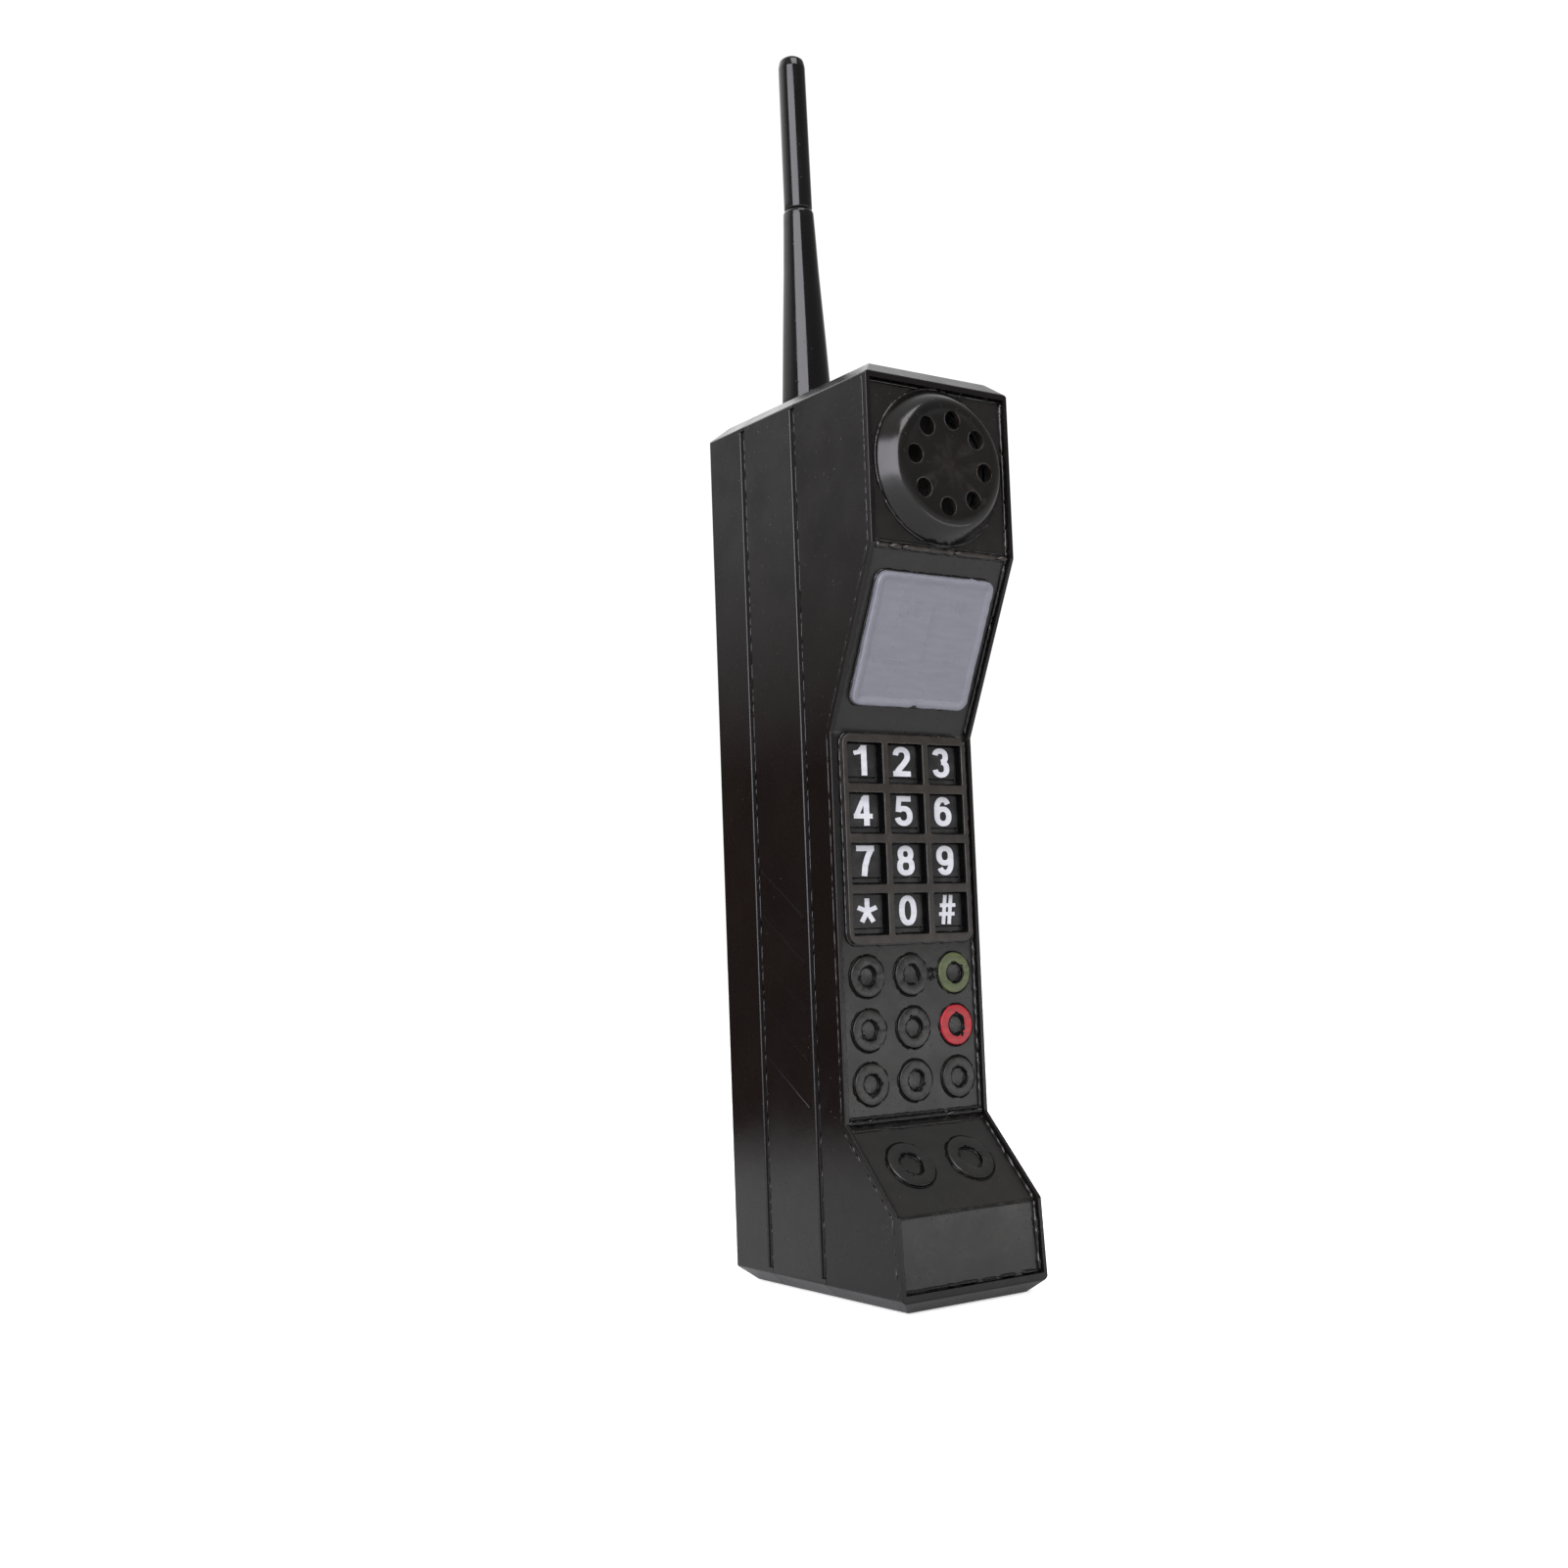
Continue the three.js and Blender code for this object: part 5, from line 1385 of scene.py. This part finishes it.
def add_battery_door():
    low, high = node_box("battery_door")
    slab = prism(rounded_outline((low.x, low.z), (high.x, high.z), 1.0, 5), low.y, high.y, "XZ")
    slab = rounded(slab, 0.35, 3, edges_near("y", high.y, 0.01))
    screw = node_centre("battery_door_screw")
    sink = turned(
        [(0, -6), (1.4, -6), (1.4, -1.65), (2.75, -1.65), (2.75, -0.4), (3.3, 0.3), (3.3, 3), (0, 3)], 48,
    )
    cutters = [moved(sink, looking_back(screw.x, high.y, screw.z))]
    for index in range(5):
        z = high.z - 7 - index * 2.2
        reach = 8 - index * 0.8
        groove = rounded_outline((-reach, z - 0.4), (reach, z + 0.4), 0.38, 4)
        cutters.append(prism(groove, high.y - 0.5, high.y + 1, "XZ"))
    lid = flat_faced(boolean(slab, joined(cutters)))
    mesh_object("battery_lid", lid, HOUSING, ["battery_door"], "battery_hatch")


def add_cells():
    metal_end, jacket, stripe = linear(170, 168, 160), linear(36, 62, 96), linear(196, 152, 60)
    for node, upright in (("battery_cell_left", True), ("battery_cell_right", False)):
        low, high = node_box(node)
        centre = (low + high) / 2
        length = high.z - low.z
        profile = [
            (0, 0), (6.6, 0), (6.9, 0.35), (7.2, 0.35), (7.2, length - 1.8), (6.7, length - 1.5),
            (2.7, length - 1.5), (2.7, length), (0, length),
        ]
        if upright:
            place = Matrix.Translation((centre.x, centre.y, low.z))
            changes = [(low.z + 0.9, jacket), (high.z - 15, stripe), (high.z - 2.0, metal_end)]
        else:
            place = Matrix.Translation((centre.x, centre.y, high.z)) @ Matrix.Rotation(math.pi, 4, "X")
            changes = [(low.z + 2.0, stripe), (low.z + 15, jacket), (high.z - 0.9, metal_end)]
        bands = [(0, metal_end)] + [(z * MM, colour) for z, colour in changes]
        mesh = moved(turned(corner_arc(profile, 0.3, 3), 72), place)
        mesh_object(node + "_jacket", mesh, banded(node + "_print", bands, 0.3), [node])


def finish_inner_nodes():
    """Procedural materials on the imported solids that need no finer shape."""
    finishes = {
        STEEL: [
            "speaker_basket", "antenna_clip", "battery_contact", "battery_bridge", "board_screw_lower",
            "board_screw_upper",
        ],
        SPRING: ["battery_spring_lower", "battery_spring_upper"],
        MAGNET: ["speaker_magnet"],
        PAPER: ["speaker_cone"],
        RUBBER: ["keypad_membrane", "function_membrane", "chin_membrane"],
        BOARD: ["main_board", "chin_board"],
        CHIP: ["sound_chip"],
        WIRE: ["speaker_wire", "battery_wire"],
        HOUSING: ["battery_box"],
    }
    for material, names in finishes.items():
        for name in names:
            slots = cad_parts[name].data.materials
            slots.clear()
            slots.append(material)


# ---------------------------------------------------------------- studio

WHITE_LIGHT = (1, 1, 1, 1)
FLOOR_REACH = 6


def mix_shaders(tree, share, first, second, output):
    """Sends a mix of two shaders to a tree's output node."""
    mixer = add_node(tree, "ShaderNodeMixShader")
    tree.links.new(share, mixer.inputs["Fac"])
    tree.links.new(first, mixer.inputs[1])
    tree.links.new(second, mixer.inputs[2])
    tree.links.new(mixer.outputs["Shader"], tree.nodes[output].inputs["Surface"])


def camera_ray(tree):
    return add_node(tree, "ShaderNodeLightPath").outputs["Is Camera Ray"]


def add_card(name, corners, material):
    """A flat part of the studio."""
    mesh = bpy.data.meshes.new(name)
    mesh.from_pydata(corners, [], [(0, 1, 2, 3)])
    mesh.materials.append(material)
    card = bpy.data.objects.new(name, mesh)
    SCENE.collection.objects.link(card)
    return card


def glowing(shader, colour, strength, specular):
    """A matt surface that also gives off light of its own."""
    shader.inputs["Base Color"].default_value = colour
    shader.inputs["Emission Color"].default_value = WHITE_LIGHT
    shader.inputs["Emission Strength"].default_value = strength
    shader.inputs["Roughness"].default_value = 0.9
    shader.inputs["Specular IOR Level"].default_value = specular
    return shader.outputs["BSDF"]


def add_floor():
    """A pale floor. The camera sees it nearly white; reflections see it a little darker."""
    material, tree, shader = new_material("floor_white")
    seen = glowing(shader, (0.86, 0.86, 0.86, 1), 0.66, 0.1)
    reflected = glowing(add_node(tree, "ShaderNodeBsdfPrincipled"), (0.4, 0.4, 0.41, 1), 0.28, 0.5)
    mix_shaders(tree, camera_ray(tree), reflected, seen, "Material Output")
    reach = FLOOR_REACH
    corners = [(-reach, -reach, 0), (reach, -reach, 0), (reach, reach, 0), (-reach, reach, 0)]
    add_card("floor", corners, material).location.z = -0.0003


def add_softbox(name, direction, distance, size, power, target=(0, 0, 0.15), colour=(1, 1, 1)):
    """A rectangular light that looks at the object from a direction."""
    data = bpy.data.lights.new(name, "AREA")
    data.shape = "RECTANGLE"
    data.size, data.size_y = size
    data.energy = power
    data.color = colour
    light = bpy.data.objects.new(name, data)
    SCENE.collection.objects.link(light)
    aim = Vector(direction).normalized()
    light.location = Vector(target) + aim * distance
    light.rotation_euler = aim.to_track_quat("Z", "Y").to_euler()


def add_world():
    """White for the camera; for reflections a room that is brightest near the horizon."""
    world = bpy.data.worlds.new("studio")
    SCENE.world = world
    world.use_nodes = True
    tree = world.node_tree
    seen = tree.nodes["Background"]
    seen.inputs["Color"].default_value = WHITE_LIGHT
    seen.inputs["Strength"].default_value = 1.05
    rise = coordinate(tree, "Generated", "Z")
    rear = coordinate(tree, "Generated", "Y")
    low = ramp(tree, rise, (0.0, 0.78), (0.24, 0.24))
    high = ramp(tree, rise, (0.45, 0), (0.95, 0.35))
    back_height = ramp(tree, rise, (0.28, 0), (0.5, 1))
    back = calculate(tree, "MULTIPLY", back_height, ramp(tree, rear, (0.1, 0), (0.6, 1.1)))
    total = calculate(tree, "ADD", low, calculate(tree, "ADD", high, back))
    rearward = ramp(tree, rear, (-1, 0.62), (1, 1.45))
    room = add_node(tree, "ShaderNodeBackground", Color=WHITE_LIGHT)
    tree.links.new(calculate(tree, "MULTIPLY", total, rearward), room.inputs["Strength"])
    mix_shaders(
        tree, camera_ray(tree), room.outputs["Background"], seen.outputs["Background"], "World Output",
    )


def add_flag():
    """A dark warm card beside the left wall. Only reflections see it: its faint warm glow is a painted
    reflection that darkens and warms the middle of the left wall.
    """
    material, tree, _ = new_material("flag_card")
    glow = add_node(tree, "ShaderNodeEmission", Color=(0.075, 0.035, 0.028, 1), Strength=1.0)
    clear = add_node(tree, "ShaderNodeBsdfTransparent")
    height = coordinate(tree, "Object", "Z")
    fade_in = ramp(tree, height, (0.023, 0), (0.04, 1))
    fade_out = ramp(tree, height, (0.15, 1), (0.23, 0))
    share = calculate(tree, "MULTIPLY", fade_in, fade_out)
    mix_shaders(tree, share, clear.outputs["BSDF"], glow.outputs["Emission"], "Material Output")
    half, high = 0.075, 0.25
    flag = add_card("flag", [(-half, 0, 0), (half, 0, 0), (half, 0, high), (-half, 0, high)], material)
    flag.location = (-0.086, 0.052, 0)
    flag.rotation_euler.z = math.radians(35)
    for ray in ("visible_camera", "visible_diffuse", "visible_shadow", "visible_transmission"):
        setattr(flag, ray, False)


def add_studio():
    add_floor()
    add_world()
    add_flag()
    add_softbox("left_softbox", (-0.79, -0.61, 0.3), 1.1, (0.95, 0.9), 15, colour=(0.94, 0.92, 1.0))
    add_softbox("key_softbox", (-0.1, -0.6, 0.8), 1.5, (0.9, 0.7), 9)
    add_softbox("low_softbox", (0.57, -0.82, 0.0), 0.75, (0.5, 0.03), 0.26, (0, 0, 0.016))
    SCENE.view_settings.view_transform = "Standard"


# ---------------------------------------------------------------- assembly

add_camera()
add_housings()
add_front_panel()
add_seam_paint()
add_earpiece()
add_display()
add_keypad_frame()
add_keys()
add_ring_buttons()
add_antenna()
add_battery_door()
add_screws()
add_cells()
finish_inner_nodes()
add_studio()
